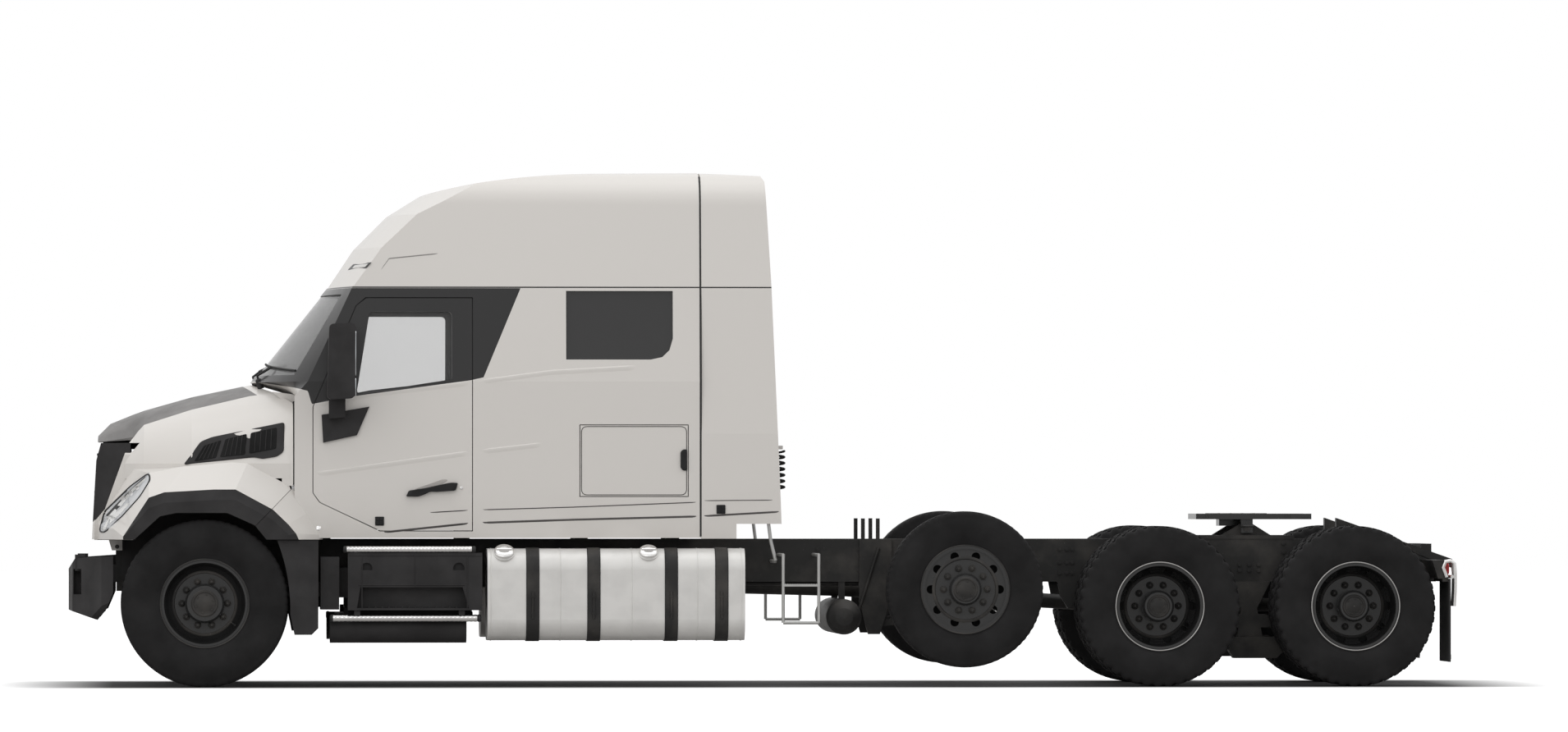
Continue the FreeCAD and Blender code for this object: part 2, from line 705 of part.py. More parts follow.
def build_drive_axles():
    """Two drive axles with their housings, and the shafts that turn them."""
    height = S.drive_tyre_radius
    parts = []
    for name, step in DRIVE_SIDES:
        x = S.tandem_x + S.tandem_spacing * step
        parts.append(rod("axle_tube_" + name, "y", (x, -720, height), 75, 1440))
        parts.append(rod("axle_spindles_" + name, "y", (x, -1015, height),
                         S.hub_bore_radius + 10 - S.running_gap, 2030))
        parts.append(turned("axle_bowl_" + name, "x", (x, 0, height),
                            [(-300, 0), (190, 0), Through(150, 140), (60, 205), (-90, 205),
                             Through(-180, 150), (-300, 75)]))
        for side in (LEFT, RIGHT):
            parts.append(block("axle_pad_" + name, (x - 50, x + 50), (470 * side - 40, 470 * side + 40),
                               (height - 75, height)))
    front = S.tandem_x - S.tandem_spacing / 2
    parts.append(rod("between_shaft", "x", (front + 150, 0, height), 45, S.tandem_spacing - 300))
    middle = (4300, 0, 650)
    parts.append(strut("front_shaft", (1485, 0, 720), middle, 50))
    parts.append(strut("rear_shaft", middle, (6125, 0, 545), 50))
    node("drive_axles", fuse("drive_axles", parts))


def build_suspension():
    """Walking beam each side under a hanger with its centre casting."""
    height = S.drive_tyre_radius
    x = S.tandem_x
    half = S.tandem_spacing / 2
    under = S.rail_top - S.rail_height
    spread = (-520, -420)
    beam = prism("walking_beam", "side",
                 [(x - half - 70, height - 150), (x + half + 70, height - 150),
                  (x + half + 70, height - 75), (x + half - 70, height - 75), (x + 200, height - 100),
                  (x + 120, height - 60), (x - 120, height - 60), (x - 200, height - 100),
                  (x - half + 70, height - 75), (x - half - 70, height - 75)],
                 *spread)
    plate = prism("hanger_plate", "side",
                  [(x - 74, height - 214), (x + 98, height - 214), (x + 60, 520), (x + 150, under),
                   (x - 150, under), (x - 50, 520)], *spread)
    casting = prism("centre_casting", "side",
                    [(x - 100, 182), (x + 190, 182), (x + 259, 250), (x + 230, height - 214),
                     (x - 136, height - 214), (x - 136, 240)], -560, -400)
    node("suspension", both("suspension", fuse("suspension_left", [beam, plate, casting])))


def build_fifth_wheel():
    """Plate with its throat and ramps, rocking on two brackets above the rails."""
    x, top, half = S.tandem_x, S.fifth_wheel_height, S.fifth_wheel_half
    slab = 38
    outline = [(x - 335, -300), (x - 260, -half + 30), (x + 250, -half), (x + 300, -half + 10),
               (x + 450, -330), (x + 450, -210), (x + 120, -70), (x + 60, -26), (x, -26),
               (x, 26), (x + 60, 26), (x + 120, 70), (x + 450, 210), (x + 450, 330),
               (x + 300, half - 10), (x + 250, half), (x - 260, half - 30), (x - 335, 300)]
    plate = prism("top_plate", "plan", outline, top - slab, top)
    jaw = rod("jaw_bore", "z", (x, 0, top - slab - 60), S.kingpin_bore, slab + 80)
    ribs = [block("plate_rib", (x - 40, x + 40), (-430, -380), (S.pivot_height - 30, top - slab + 1)),
            block("plate_rib", (x - 40, x + 40), (380, 430), (S.pivot_height - 30, top - slab + 1))]
    lock = block("lock_body", (x - 160, x + 70), (-110, 110), (top - slab - 45, top - slab + 1))
    way = block("lock_way", (x, x + 80), (-26, 26), (top - slab - 50, top - slab))
    bores = [rod("pivot_bore", "y", (x, -440, S.pivot_height), 22, 880)]
    shaped = cut("shaped_plate", fuse("plate_body", [plate, lock] + ribs), [jaw, way] + bores)
    node("fifth_wheel", shaped)
    feet = []
    for y in (-375, 319):
        foot = prism("plate_bracket", "side",
                     [(x - 170, S.rail_top + 24), (x + 170, S.rail_top + 24),
                      (x + 45, S.pivot_height + 30), (x - 45, S.pivot_height + 30)], y, y + 56)
        feet.append(foot)
    base = block("base_plate", (x - 380, x + 320), (-S.rail_outer_y - 5, S.rail_outer_y + 5),
                 (S.rail_top, S.rail_top + 25))
    pins = [rod("pivot_pin", "y", (x, -436, S.pivot_height), 21.7, 110),
            rod("pivot_pin", "y", (x, 326, S.pivot_height), 21.7, 110)]
    node("fifth_wheel_base", fuse("fifth_wheel_base", [base] + feet + pins))


# ---- side equipment ---------------------------------------------------------------------

def build_side_equipment(flare):
    """Fuel tanks with their straps, step boxes, splash guards, deck steps and air tank.

    The dark flare behind each steer wheel goes with its splash guard.
    """
    outer, inner = -S.tank_outer_y, -S.tank_inner_y
    low, high, corner = S.tank_bottom, S.tank_top, S.tank_corner
    tank = prism("tank", "front",
                 [(outer, low, corner), (inner, low, corner), (inner, high, corner),
                  (outer, high, corner)], S.tank_front, S.tank_rear)
    node("fuel_tanks", both("fuel_tanks", tank))
    straps = []
    for number, station in enumerate((2195, 2604, 3124, 3462), start=1):
        band = prism("strap_%d" % number, "front",
                     [(outer - 6, low - 6, corner + 6), (inner + 6, low - 6, corner + 6),
                      (inner + 6, high + 6, corner + 6), (outer - 6, high + 6, corner + 6)],
                     station - 38, size(station) + 38)
        hollow = prism("strap_hollow_%d" % number, "front",
                       [(outer, low, corner), (inner, low, corner), (inner, high, corner),
                        (outer, high, corner)], station - 42, size(station) + 42)
        arm = block("tank_arm_%d" % number, (station - 25, size(station) + 25),
                    (inner + 6, -S.rail_outer_y), (low + 250, high - 100))
        straps.append(fuse("strap_set_%d" % number, [cut("strap_ring_%d" % number, band, [hollow]), arm]))
    node("tank_straps", both("tank_straps", group("straps_left", straps)))

    box = block("step_box", (957, 1857), (-1195, -700), (516, 900))
    recess = prism("step_recess", "side", [(1041, 670), (1725, 670), (1767, 530), (1018, 530)],
                   -1210, -1110)
    holes = [prism("box_hole_%d" % number, "side",
                   [(station - 36, 785), (station + 36, 785), Through(station, 835)], -1210, -1165)
             for number, station in enumerate((1083, 1700), start=1)]
    shaped = cut("step_box_shaped", box, [recess] + holes)
    side_box = block("side_box", (775, 900), (-1150, -700), (520, 874))
    link = block("box_link", (890, 967), (-1000, -760), (600, 800))
    arm = block("step_arm", (1100, 1700), (-710, -S.rail_outer_y), (720, 860))
    upper = rod("upper_step", "x", (933, -1195, 924), 19, 873)
    lower = rod("lower_step", "x", (842, -1160, 463), 22, 1002)
    can = rod("lower_can", "x", (838, -1010, 391), 95, 916)
    legs = [block("step_leg", (1000, 1040), (-1180, -1140), (465, 525)),
            block("step_leg", (1700, 1740), (-1180, -1140), (465, 525)),
            block("step_post", (990, 1030), (-1195, -1165), (890, 925)),
            block("step_post", (1730, 1770), (-1195, -1165), (890, 925)),
            block("can_strap", (1100, 1140), (-1060, -960), (475, 525)),
            block("can_strap", (1560, 1600), (-1060, -960), (475, 525))]
    node("step_boxes", both("step_boxes", fuse("step_box_left", [
        shaped, side_box, link, arm, upper, lower, can] + legs)))

    skin = prism("guard_skin", "side",
                 [(484, 985), Through(552, 745), (572, 489), (600, 352), (715, 352), (759, 396),
                  (759, 985)], -1230, -1200)
    wall = block("guard_wall", (735, 759), (-1205, -S.rail_outer_y), (396, 968))
    guard = group("guard_left", [fuse("guard", [skin, wall]), flare])
    node("splash_guards", both("splash_guards", guard))

    rungs = [rod("deck_upright", "z", (3877, -1160, 430), 11, 462),
             rod("deck_upright", "z", (4116, -1160, 430), 11, 462),
             rod("deck_rung", "x", (3877, -1160, 430), 11, 239),
             block("deck_tread", (3877, 4116), (-1175, -1145), (674, 689)),
             rod("deck_arm", "y", (3877, -1160, 885), 11, 1160 - S.rail_outer_y),
             rod("deck_arm", "y", (4116, -1160, 885), 11, 1160 - S.rail_outer_y)]
    node("deck_steps", both("deck_steps", fuse("deck_step_left", rungs)))
    radius = S.air_tank_radius
    drum = turned("air_drum", "y", (4312, 0, 465),
                  [(-760, 0), (760, 0), (750, radius * 0.5), (715, radius * 0.88), (690, radius),
                  (-690, radius), (-715, radius * 0.88), (-750, radius * 0.5)])
    hooks = [block("air_hook", (4290, 4334), (-425, -395), (465, S.rail_top - S.rail_height)),
             block("air_hook", (4290, 4334), (395, 425), (465, S.rail_top - S.rail_height))]
    node("air_tank", fuse("air_tank", [drum] + hooks))


def build_tail():
    """Lamps and mudflaps at the tail."""
    lamp = block("tail_lamp", (8332, 8372), (-1060, -720), (745, 835))
    node("tail_lights", both("tail_lights", lamp))
    flap = block("mudflap", (8360, 8370), (-1230, -640), (165, 725))
    node("mudflaps", both("mudflaps", flap))


# ---- cab ------------------------------------------------------------------------------------

CAB_LEVELS = (
    # height, middle of the front, front at the side, half width, sizes of the outer skin
    ("cab_bottom", "firewall_x", "cab_corner_x", "cab_half_width"),
    ("waist_height", "firewall_x", "cab_corner_x", "cab_half_width"),
    ("cowl_height", "screen_foot_x", "screen_foot_side_x", "cab_half_width"),
    ("seam_height", "screen_head_x", "screen_head_side_x", "seam_half_width"),
)


def cab_form(name, inset, bottom=None, top_extra=0):
    """The lower cab and sleeper as a solid, its skin moved inward by an inset."""
    levels = []
    rear = S.sleeper_rear - inset
    for number, (height, middle, side, half) in enumerate(CAB_LEVELS):
        height, middle, side, half = (getattr(S, item) for item in (height, middle, side, half))
        if number == 0 and bottom is not None:
            height = bottom
        if number == 1:
            height = height + inset * 0.6
        if number == 2:
            height = height + inset * 0.4
        if number == 3:
            height = height + top_extra
        front, edge, y = middle + inset, side + inset * 1.1, half - inset
        outline = [(edge + ORIGIN, -y), (rear + ORIGIN, -y), (rear + ORIGIN, y), (edge + ORIGIN, y),
                   Through(front + ORIGIN, 0)]
        levels.append((height, outline))
    body = doc.addObject("PartDesign::Body", name)
    sketches = []
    for number, (station, outline) in enumerate(levels, start=1):
        sketch = new_sketch(body, "plan", "%s_section_%d" % (name, number), station)
        draw(sketch, outline)
        sketches.append(sketch)
    skin = body.newObject("PartDesign::AdditiveLoft", name + "_loft")
    skin.Profile = sketches[0]
    skin.Sections = [(item, [""]) for item in sketches[1:]]
    skin.Ruled = True
    return body


ROOF_LEVELS = (
    # share of the fairing's height, front in the middle, front at the side
    (0, 820, 985), (0.353, 1006, 1200), (0.636, 1230, 1450), (0.812, 1453, 1750), (1.07, 1850, 2200),
)


def roof_form(name, inset, bottom):
    """The roof fairing as a solid: curved levels cut by its side and front outlines."""
    top = S.roof_top - inset
    half = S.seam_half_width - inset
    rear = S.sleeper_rear - inset
    body = doc.addObject("PartDesign::Body", name + "_levels")
    sketches = []
    for number, (share, middle, edge) in enumerate(ROOF_LEVELS, start=1):
        height = S.seam_height - 20 + (S.roof_top - S.seam_height + 20) * share
        sketch = new_sketch(body, "plan", "%s_level_%d" % (name, number), height)
        front, side = size(middle) + inset + ORIGIN, size(edge) + inset + ORIGIN
        draw(sketch, [(side, -half - 5), (rear + ORIGIN + 5, -half - 5), (rear + ORIGIN + 5, half + 5),
                      (side, half + 5), Through(front, 0)])
        sketches.append(sketch)
    skin = body.newObject("PartDesign::AdditiveLoft", name + "_loft")
    skin.Profile = sketches[0]
    skin.Sections = [(item, [""]) for item in sketches[1:]]
    skin.Ruled = True
    side = prism(name + "_side", "side",
                 [(S.screen_head_x - 60, bottom), (rear, bottom), (rear, top), (2700, top - 6),
                  Through(2000, top - 53), (1453 + inset * 0.3, top - 149),
                  Through(1060 + inset * 0.7, top - 389)],
                 -half - 10, half + 10)
    front = prism(name + "_front", "front",
                  [(-half, bottom), (half, bottom), (half - 60, top - 230),
                   Through(half - 130, top - 80), (half - 290, top - 12), Through(0, top + 20),
                   (-half + 290, top - 12), Through(-half + 130, top - 80), (-half + 60, top - 230)],
                  S.screen_head_x - 100, rear + 10)
    return common(name, [body, side, front])


def side_cutter(name, outline, far=-850):
    """A window or door outline as a cutter through the left side, in as far as a distance."""
    return prism(name, "side", outline, -1400, far)


DOOR_OUTLINE = (
    # station, height, which edges grow with the gap (x, z)
    (727, 1303, -1, 0), (727, 1880, -1, 0), (1017, 2560, -1, 0), (1082, 2610, -1, 1),
    (1791, 2610, 1, 1), (1791, 1050, 1, -1), (1176, 1050, -0.4, -1), (772, 1240, -1, -0.4),
)
DOOR_GLASS = ((1016, 1966, 20), (1104, 2518, 30), (1656, 2518, 30), (1656, 2065, 20))
SLEEPER_GLASS = ((2423, 2198), (2423, 2660), (3141, 2660), (3141, 2340), (3118, 2262), (3070, 2215),
                 (2990, 2198))


def door_outline(gap):
    """The door's edges, let out by a gap."""
    return [(x + gap * dx, z + gap * dz) for x, z, dx, dz in DOOR_OUTLINE]


def luggage_outline(gap):
    """The luggage door's edges, let out by a gap."""
    low, high = S.bay_front - gap, S.bay_rear + gap
    return [(low, S.bay_bottom - gap), (high, S.bay_bottom - gap), (high, S.bay_top + gap),
            (low, S.bay_top + gap)]


def build_cab(quarter):
    """Hollow cab and sleeper with their doors, windows and roof, and the fenders' rear quarters."""
    wall = S.cab_wall
    outer = cab_form("cab_outer", size(0))
    inner = cab_form("cab_inner", wall, S.cab_floor, 20)
    belly = block("belly", (S.firewall_x - 40, S.sleeper_rear - wall), (-S.cab_half_width + wall,
                  S.cab_half_width - wall), (S.cab_bottom - 10, S.floor_bottom))
    shell = cut("cab_shell_solid", outer, [inner, belly])
    skin = cut("skin_layer", cab_form("skin_outer", S.glass_setback, None, 20),
               [cab_form("skin_inner", S.glass_setback + S.glass_wall, S.cab_floor, 30)])

    screen = [(-900, S.cowl_height + 45), (900, S.cowl_height + 45), (870, S.seam_height - 55),
              (-870, S.seam_height - 55)]
    screen_hole = prism("screen_hole", "front", screen, 0, 1150)
    screen_keep = prism("screen_keep", "front",
                        [(y * 0.996, z) for y, z in screen], 0, 1150)
    gap = S.panel_gap
    left_door = side_cutter("door_keep", door_outline(size(0)))
    left_hole = side_cutter("door_hole", door_outline(gap))
    glass_hole = side_cutter("door_glass_hole", DOOR_GLASS)
    bay_keep = side_cutter("bay_keep", luggage_outline(size(0)))
    bay_hole = side_cutter("bay_hole", luggage_outline(gap))
    sleeper_hole = side_cutter("sleeper_hole", SLEEPER_GLASS)

    opened = cut("shell_open", shell, [
        screen_hole, left_hole, mirror("door_hole_other", left_hole),
        bay_hole, mirror("bay_hole_other", bay_hole),
        sleeper_hole, mirror("sleeper_hole_other", sleeper_hole)])
    lining = cut("jamb_layer", cab_form("jamb_outer", wall, S.cab_floor, 20),
                 [cab_form("jamb_inner", wall + 30, S.cab_floor - 10, 30)])
    door_ring = cut("door_jamb_ring", side_cutter("door_jamb", door_outline(size(25)), far=-924),
                    [side_cutter("door_clear", door_outline(size(-25)))])
    bay_ring = cut("bay_jamb_ring", side_cutter("bay_jamb", luggage_outline(25)),
                   [side_cutter("bay_clear", luggage_outline(-25))])
    jambs = []
    for number, ring in enumerate((door_ring, bay_ring), start=1):
        jamb = common("jamb_%d" % number, [lining, ring])
        jambs += [jamb, mirror("jamb_other_%d" % number, jamb)]
    body = fuse("shell_with_jambs", [opened] + jambs)
    door_skin = cut("door_skin", outer, [cab_form("door_back", wall - 0.3, S.cab_floor - 60, 20)])
    front_part = block("cab_half", (0, S.cab_split_x), (-1200, 1200), (900, 2800))
    rear_part = block("sleeper_half", (S.cab_split_x, 3500), (-1200, 1200), (900, 2800))
    node("cab_shell", fuse("cab_shell", [common("cab_front", [body, front_part]), quarter,
                                         mirror("quarter_other", quarter)]))
    node("sleeper_shell", common("sleeper_shell", [body, rear_part]))

    roof = cut("roof_solid", roof_form("roof_outer", size(0), S.seam_height),
               [roof_form("roof_inner", wall, S.seam_height - 20)])
    node("roof_fairing", roof)

    windshield = common("windshield", [skin, screen_keep])
    side_glass = common("sleeper_glass", [skin, sleeper_hole])
    node("fixed_glass", group("fixed_glass", [windshield, side_glass,
                                              mirror("sleeper_glass_other", side_glass)]))

    door = cut("door_body", common("door_solid", [door_skin, left_door]), [glass_hole])
    glass = common("door_glass", [skin, glass_hole])
    bay = common("luggage_door", [door_skin, bay_keep])
    base = prism("mirror_base", "side", [(782, 1826), (1102, 1881), (1019, 1689), (793, 1639)],
                 -S.cab_half_width - 20, -S.cab_half_width)
    arm = prism("mirror_arm", "side", [(830, 1800), (940, 1810), (940, 1935), (830, 1925)],
                -1190, -S.cab_half_width)
    head = prism("mirror_head", "side", [(815, 1925, 30), (1000, 1935, 30), (1005, 2440, 30),
                                         (830, 2430, 30)], -1440, -1160)
    glass_mirror = fuse("mirror_left", [base, arm, head])
    for side, name in ((LEFT, "left"), (RIGHT, "right")):
        for label, item in (("door_", door), ("door_glass_", glass), ("luggage_door_", bay),
                            ("mirror_", glass_mirror)):
            full = label + name
            node(full, item if side == LEFT else mirror(full, item))


def build_extenders():
    """Extender wrapped round behind the sleeper, with the bracket and coils of the hoses."""
    start = S.sleeper_rear + 8
    outside = prism("extender_outside", "front",
                    [(-1060, 900), (-1060, 1700), (-1010, 2693), (-950, 3236), Through(-880, 3386),
                     (-720, 3454), Through(0, 3486), (720, 3454), Through(880, 3386), (950, 3236),
                     (1010, 2693), (1060, 1700), (1060, 900)], start, 3880)
    inside = prism("extender_inside", "front",
                   [(-1028, 890), (-1028, 1700), (-978, 2693), (-918, 3200), Through(-850, 3320),
                    (-700, 3385), Through(0, 3395), (700, 3385), Through(850, 3320), (918, 3200),
                    (978, 2693), (1028, 1700), (1028, 890)], start - 10, 3890)
    side = prism("extender_side", "side",
                 [(start, 995), (3568, 995), (3568, 1094), (3871, 1094), (3866, 1243), (3805, 2704),
                  (3765, 3400), (3740, 3440), (start, 3462)], -1100, 1100)
    tabs = [block("extender_tab_%d" % number, (S.sleeper_rear, size(3400)), span_y, span_z)
            for number, (span_y, span_z) in enumerate((((-1029, -985), (1300, 1360)),
                                                       ((-1010, -960), (2200, 2260))), start=1)]
    shell = fuse("extender_shell", [common("extender_skin", [cut("extender_ring", outside, [inside]), side])]
                 + tabs + [mirror(item.Name + "_other", item) for item in tabs])
    bar = block("hose_bar", (S.sleeper_rear, size(3930)), (-15, 15), (1600, 1625))
    cross = block("hose_cross", (3880, 3930), (-110, 110), (1600, 1625))
    node("side_extenders", group("side_extenders", [shell, fuse("hose_bracket", [bar, cross])]))
    node("air_lines", group("air_lines", [rod("hose_coil", "z", (3905, y, 1310), 46, 290)
                                          for y in (-60, 60)]))


def build_interior():
    """What shows through the windows: dashboard with its wheel, seats and bunk."""
    dash = block("dash_body", (S.firewall_x + 80, S.firewall_x + 420), (-930, 930), (1500, 1850))
    leg = block("dash_leg", (S.firewall_x + 80, S.firewall_x + 300), (-200, 200), (S.cab_floor, 1500))
    column = block("steering_column", (S.firewall_x + 400, S.firewall_x + 560), (-530, -480), (1660, 1730))
    wheel = doc.addObject("Part::Torus", "steering_ring")
    wheel.Radius1 = 225
    wheel.Radius2 = 15
    wheel.Placement = FreeCAD.Placement(FreeCAD.Vector(), AXES["x"])
    place(wheel, S.firewall_x + 560, -505, 1700)
    spoke = block("steering_spoke", (S.firewall_x + 548, S.firewall_x + 572), (-725, -285), (1680, 1720))
    node("dashboard", fuse("dashboard", [dash, leg, column, wheel, spoke]))
    pair = []
    for number, y in enumerate((-505, 505), start=1):
        base = block("seat_base_%d" % number, (1420, 1740), (y - 160, y + 160), (S.cab_floor, 1420))
        cushion = block("seat_cushion_%d" % number, (1330, 1800), (y - 250, y + 250), (1420, 1550))
        back = block("seat_back_%d" % number, (1760, 1880), (y - 240, y + 240), (1550, 2250))
        pair.append(fuse("seat_%d" % number, [base, cushion, back]))
    node("seats", group("seats", pair))
    node("bunk", block("bunk_bed", (2450, S.sleeper_rear - S.cab_wall), (-990, 990), (1850, 2000)))


# ---- hood --------------------------------------------------------------------------------

HOOD_STATIONS = (
    # station, top in the middle, cap's half width, cap's edge height, half width
    (-722, 1690, 400, 1640, 470), (-640, 1772, 420, 1655, 540), (-485, 1835, 450, 1680, 650),
    (-410, 1862, 465, 1762, 700), (-90, 1953, 520, 1864, 880), (300, 2035, 590, 1955, 1000),
    (640, 2080, 630, 2000, 1050),
)

# the fender seen from the side: at its root, at its upper crease, and at the dark flare
FENDER_ROOT = ((-760, 990), (-755, 1100), (-520, 1480), (-143, 1480), (176, 1507), (285, 1500),
               (580, 1342), (700, 1180), (790, 1020), (790, 990))
FENDER_CREST = ((-610, 990), (-610, 1060), (-375, 1435), (-143, 1480), (176, 1507), (285, 1500),
                (580, 1342), (700, 1180), (790, 1020), (790, 990))
FENDER_BROW = ((-545, 990), (-545, 1010), (-374, 1270), (-270, 1306), (60, 1325), (206, 1325),
               (456, 1190), (560, 1090), (610, 1030), (628, 990))
ROOT_Y, CREST_Y, BROW_Y, FLARE_Y = 480, 1030, 1236, 1262
FACET_DROP = 70     # how far the flare's top falls towards its outer face

ARCH_EDGE = (
    # wheel opening: station, height
    (-470, 800), (-470, 990), (-300, 1145), (-190, 1168), (150, 1168), (335, 1085), (510, 868),
    (540, 800),
)
LAMP_OUTLINE = ((-711, 1039), (-678, 1176), (-500, 1350), (-372, 1440), (-362, 1386), (-430, 1276),
                (-550, 1143), (-672, 1033))
GRILLE_PROFILE = ((-749, 992), (-755, 1118), (-732, 1522), (-700, 1640))
GRILLE_BARS = 9
GRILLE_PITCH = 63


def hood_form(name, inset, low):
    """The hood's upper body as a solid through its stations."""
    body = doc.addObject("PartDesign::Body", name)
    sketches = []
    for number, (station, top, cap, edge, half) in enumerate(HOOD_STATIONS, start=1):
        y = half - inset
        side_y, side_z = (y + cap) / 2 + 0.14 * (y - cap), (edge + 1500) / 2 + 0.1 * (edge - size(1500))
        outline = [(-y, low), (y, low), (y, 1500), Through(side_y, side_z),
                   (cap - inset * 0.4, edge - inset), Through(0, top - inset),
                   (inset * 0.4 - cap, edge - inset), Through(-side_y, side_z), (-y, 1500)]
        where = size(station) + ORIGIN
        if number == 1:
            where = where + inset
        sketch = new_sketch(body, "front", "%s_section_%d" % (name, number), where)
        draw(sketch, outline)
        sketches.append(sketch)
    return lofted(body, name, sketches)


def lofted(body, name, sketches):
    """A body's ruled loft through its sketches."""
    skin = body.newObject("PartDesign::AdditiveLoft", name + "_loft")
    skin.Profile = sketches[0]
    skin.Sections = [(item, [""]) for item in sketches[1:]]
    skin.Ruled = True
    return body


def shrink(profile, inset):
    """A fender profile moved inward: down off its top, in from its ends."""
    moved = []
    last = len(profile) - 1
    for number, (x, z) in enumerate(profile):
        if number < 2:
            x = x + inset
        elif number > last - 3:
            x = x - inset
        drop = inset / 2 if number in (0, last) else inset
        moved.append((x + ORIGIN, z - drop))
    return moved


def side_loft(name, sections):
    """A solid through side outlines at distances from the middle, on the left."""
    body = doc.addObject("PartDesign::Body", name)
    sketches = []
    for number, (distance, outline) in enumerate(sections, start=1):
        sketch = new_sketch(body, "side", "%s_section_%d" % (name, number), distance)
        draw(sketch, outline)
        sketches.append(sketch)
    return lofted(body, name, sketches)


def fender_form(name, inset):
    """Left fender as a solid: from its root out to the crease, then down to the flare."""
    return side_loft(name, ((size(ROOT_Y), shrink(FENDER_ROOT, inset)),
                            (CREST_Y - inset * 0.5, shrink(FENDER_CREST, inset)),
                            (BROW_Y - inset, shrink(FENDER_BROW, inset))))


def flare_form(name):
    """Left dark flare as a solid outside the fender's lower edge."""
    brow = shrink(FENDER_BROW, size(0))
    outer = [(x, z - FACET_DROP if 1 < number < len(brow) - 2 else z)
             for number, (x, z) in enumerate(brow)]
    return side_loft(name, ((size(BROW_Y), brow), (size(FLARE_Y), outer)))


def build_grille():
    """Grille surround with its slanted bars."""
    outer = common("grille_outer", [
        prism("grille_side", "side", GRILLE_PROFILE + ((-500, 1640), (-500, 992)), -700, 700),
        prism("grille_plan", "plan", [(-830, -380), (-500, -600), (-500, 600), (-830, 380)], 900, 1700)])
    inner = common("grille_inner", [
        prism("grille_inner_side", "side", [(-900, 1014), (-900, 1618), (-450, 1618), (-450, 1014)],
              -700, 700),
        prism("grille_inner_plan", "plan", [(-830, -355), (-450, -608), (-450, 608), (-830, 355)],
              900, 1700)])
    bars = []
    for number in range(GRILLE_BARS):
        height = 1050 + GRILLE_PITCH * number
        x = -745 + 0.07 * max(0, height - 1300)
        bars.append(prism("grille_bar_%d" % (number + 1), "side",
                          [(x, height), (x + 55, height + 26), (x + 55, height + 36), (x, height + 14)],
                          -438, 438))
    node("grille", fuse("grille", [cut("grille_frame", outer, [inner])] + bars))


def build_hood():
    """Tilting hood: painted shell, centre cap, lamps and dark flares.

    Gives back what stays with the cab: the left fender's rear quarter and its flare.
    """
    wall = S.hood_wall
    upper = hood_form("hood_upper", size(0), 1400)
    hollow = hood_form("hood_hollow", wall, 1300)
    fender = fender_form("fender", size(0))
    inner_wall = block("fender_inner_wall", (-820, -470), (-625, -400), (900, 1700))
    fender_hollow = cut("fender_hollow", fender_form("fender_inside", wall), [inner_wall])
    arch = prism("arch", "side", ARCH_EDGE, -1400, -ROOT_Y)
    nose = prism("nose", "side", [(-744, 985), (-480, 985), (-480, 1560), (-560, 1560), (-742, 1121)],
                 -610, 610)
    mouth = prism("mouth", "plan", [(-830, -380), (-500, -600), (-350, -600), (-350, 600), (-500, 600),
                                    (-830, 380)], 900, 1640)
    cheeks = prism("cheek_trim", "side",
                   [(-1000, 1121), (-733, 1121), (-672, 1193), (-516, 1631), (-428, 1748),
                    (-405, 1790), (-405, 2000), (-1000, 2000)], -900, 900)
    edges = [(station, cap) for station, top, cap, edge, half in HOOD_STATIONS]
    edges = [(edges[0][0] - 20, edges[0][1])] + edges[1:-1] + [(edges[-1][0] + 20, edges[-1][1])]
    cap_keep = prism("cap_keep", "plan", [(x, -y) for x, y in edges] + [(x, y) for x, y in edges[::-1]],
                     1500, 2200)
    cap_under = prism("cap_under", "side", [(-760, 1400), (-760, 1645), (-485, 1660), (-405, 1700),
                                            (-405, 1400)], -700, 700)
    behind = prism("behind_cowl", "plan",
                   [(586, -1300), (586, -1060), Through(255, 0), (586, 1060), (586, 1300),
                    (1000, 1300), (1000, -1300)], 1300, 2300)
    behind_gap = prism("behind_gap", "side",
                       [(586, 2300), (586, 1336), (318, 1060), (318, 700), (1000, 700), (1000, 2300)],
                       -1500, 1500)
    lamp_keep = prism("lamp_outline", "side", LAMP_OUTLINE, -1300, -640)
    lamp_skin = cut("lamp_skin", fender, [fender_form("lamp_back", size(14))])
    lamp = common("headlight", [lamp_skin, lamp_keep])
    whole = fuse("hood_whole", [upper, nose, fender, mirror("fender_other", fender)])
    hood_side = cut("hood_side", whole, [
        hollow, mouth, fender_hollow, mirror("fender_hollow_other", fender_hollow), arch,
        mirror("arch_other", arch), cap_keep, cheeks, behind, behind_gap, lamp,
        mirror("lamp_other", lamp)])
    x, z = S.hood_hinge_x, S.hood_hinge_height
    lug = prism("hood_lug", "side", [(x - 35, z - 25), (x + 35, z - 25), (x + 35, 1000), (x - 60, 1000)],
                -600, -565)
    eye = rod("hood_lug_bore", "y", (x, -640, z), 14.3, 120)
    eared = cut("hood_lug_bored", lug, [eye])
    node("hood_shell", fuse("hood_shell", [hood_side, eared, mirror("hood_lug_other", eared)]))
    node("hood_cap", cut("hood_cap", common("cap_body", [upper, cap_keep]), [hollow, behind, cap_under]))
    node("headlights", both("headlights", lamp))
    flare = cut("flare_open", flare_form("flare"), [arch])
    node("fender_flares", both("fender_flares", cut("front_flare", flare, [behind_gap])))
    keep = prism("quarter_keep", "side",
                 [(594, 2300), (594, 1340), (326, 1064), (326, 700), (1000, 700), (1000, 2300)],
                 -1500, -1010)
    quarter = cut("quarter", common("quarter_body", [fender, keep]), [fender_hollow, arch])
    return quarter, common("rear_flare", [flare, keep])


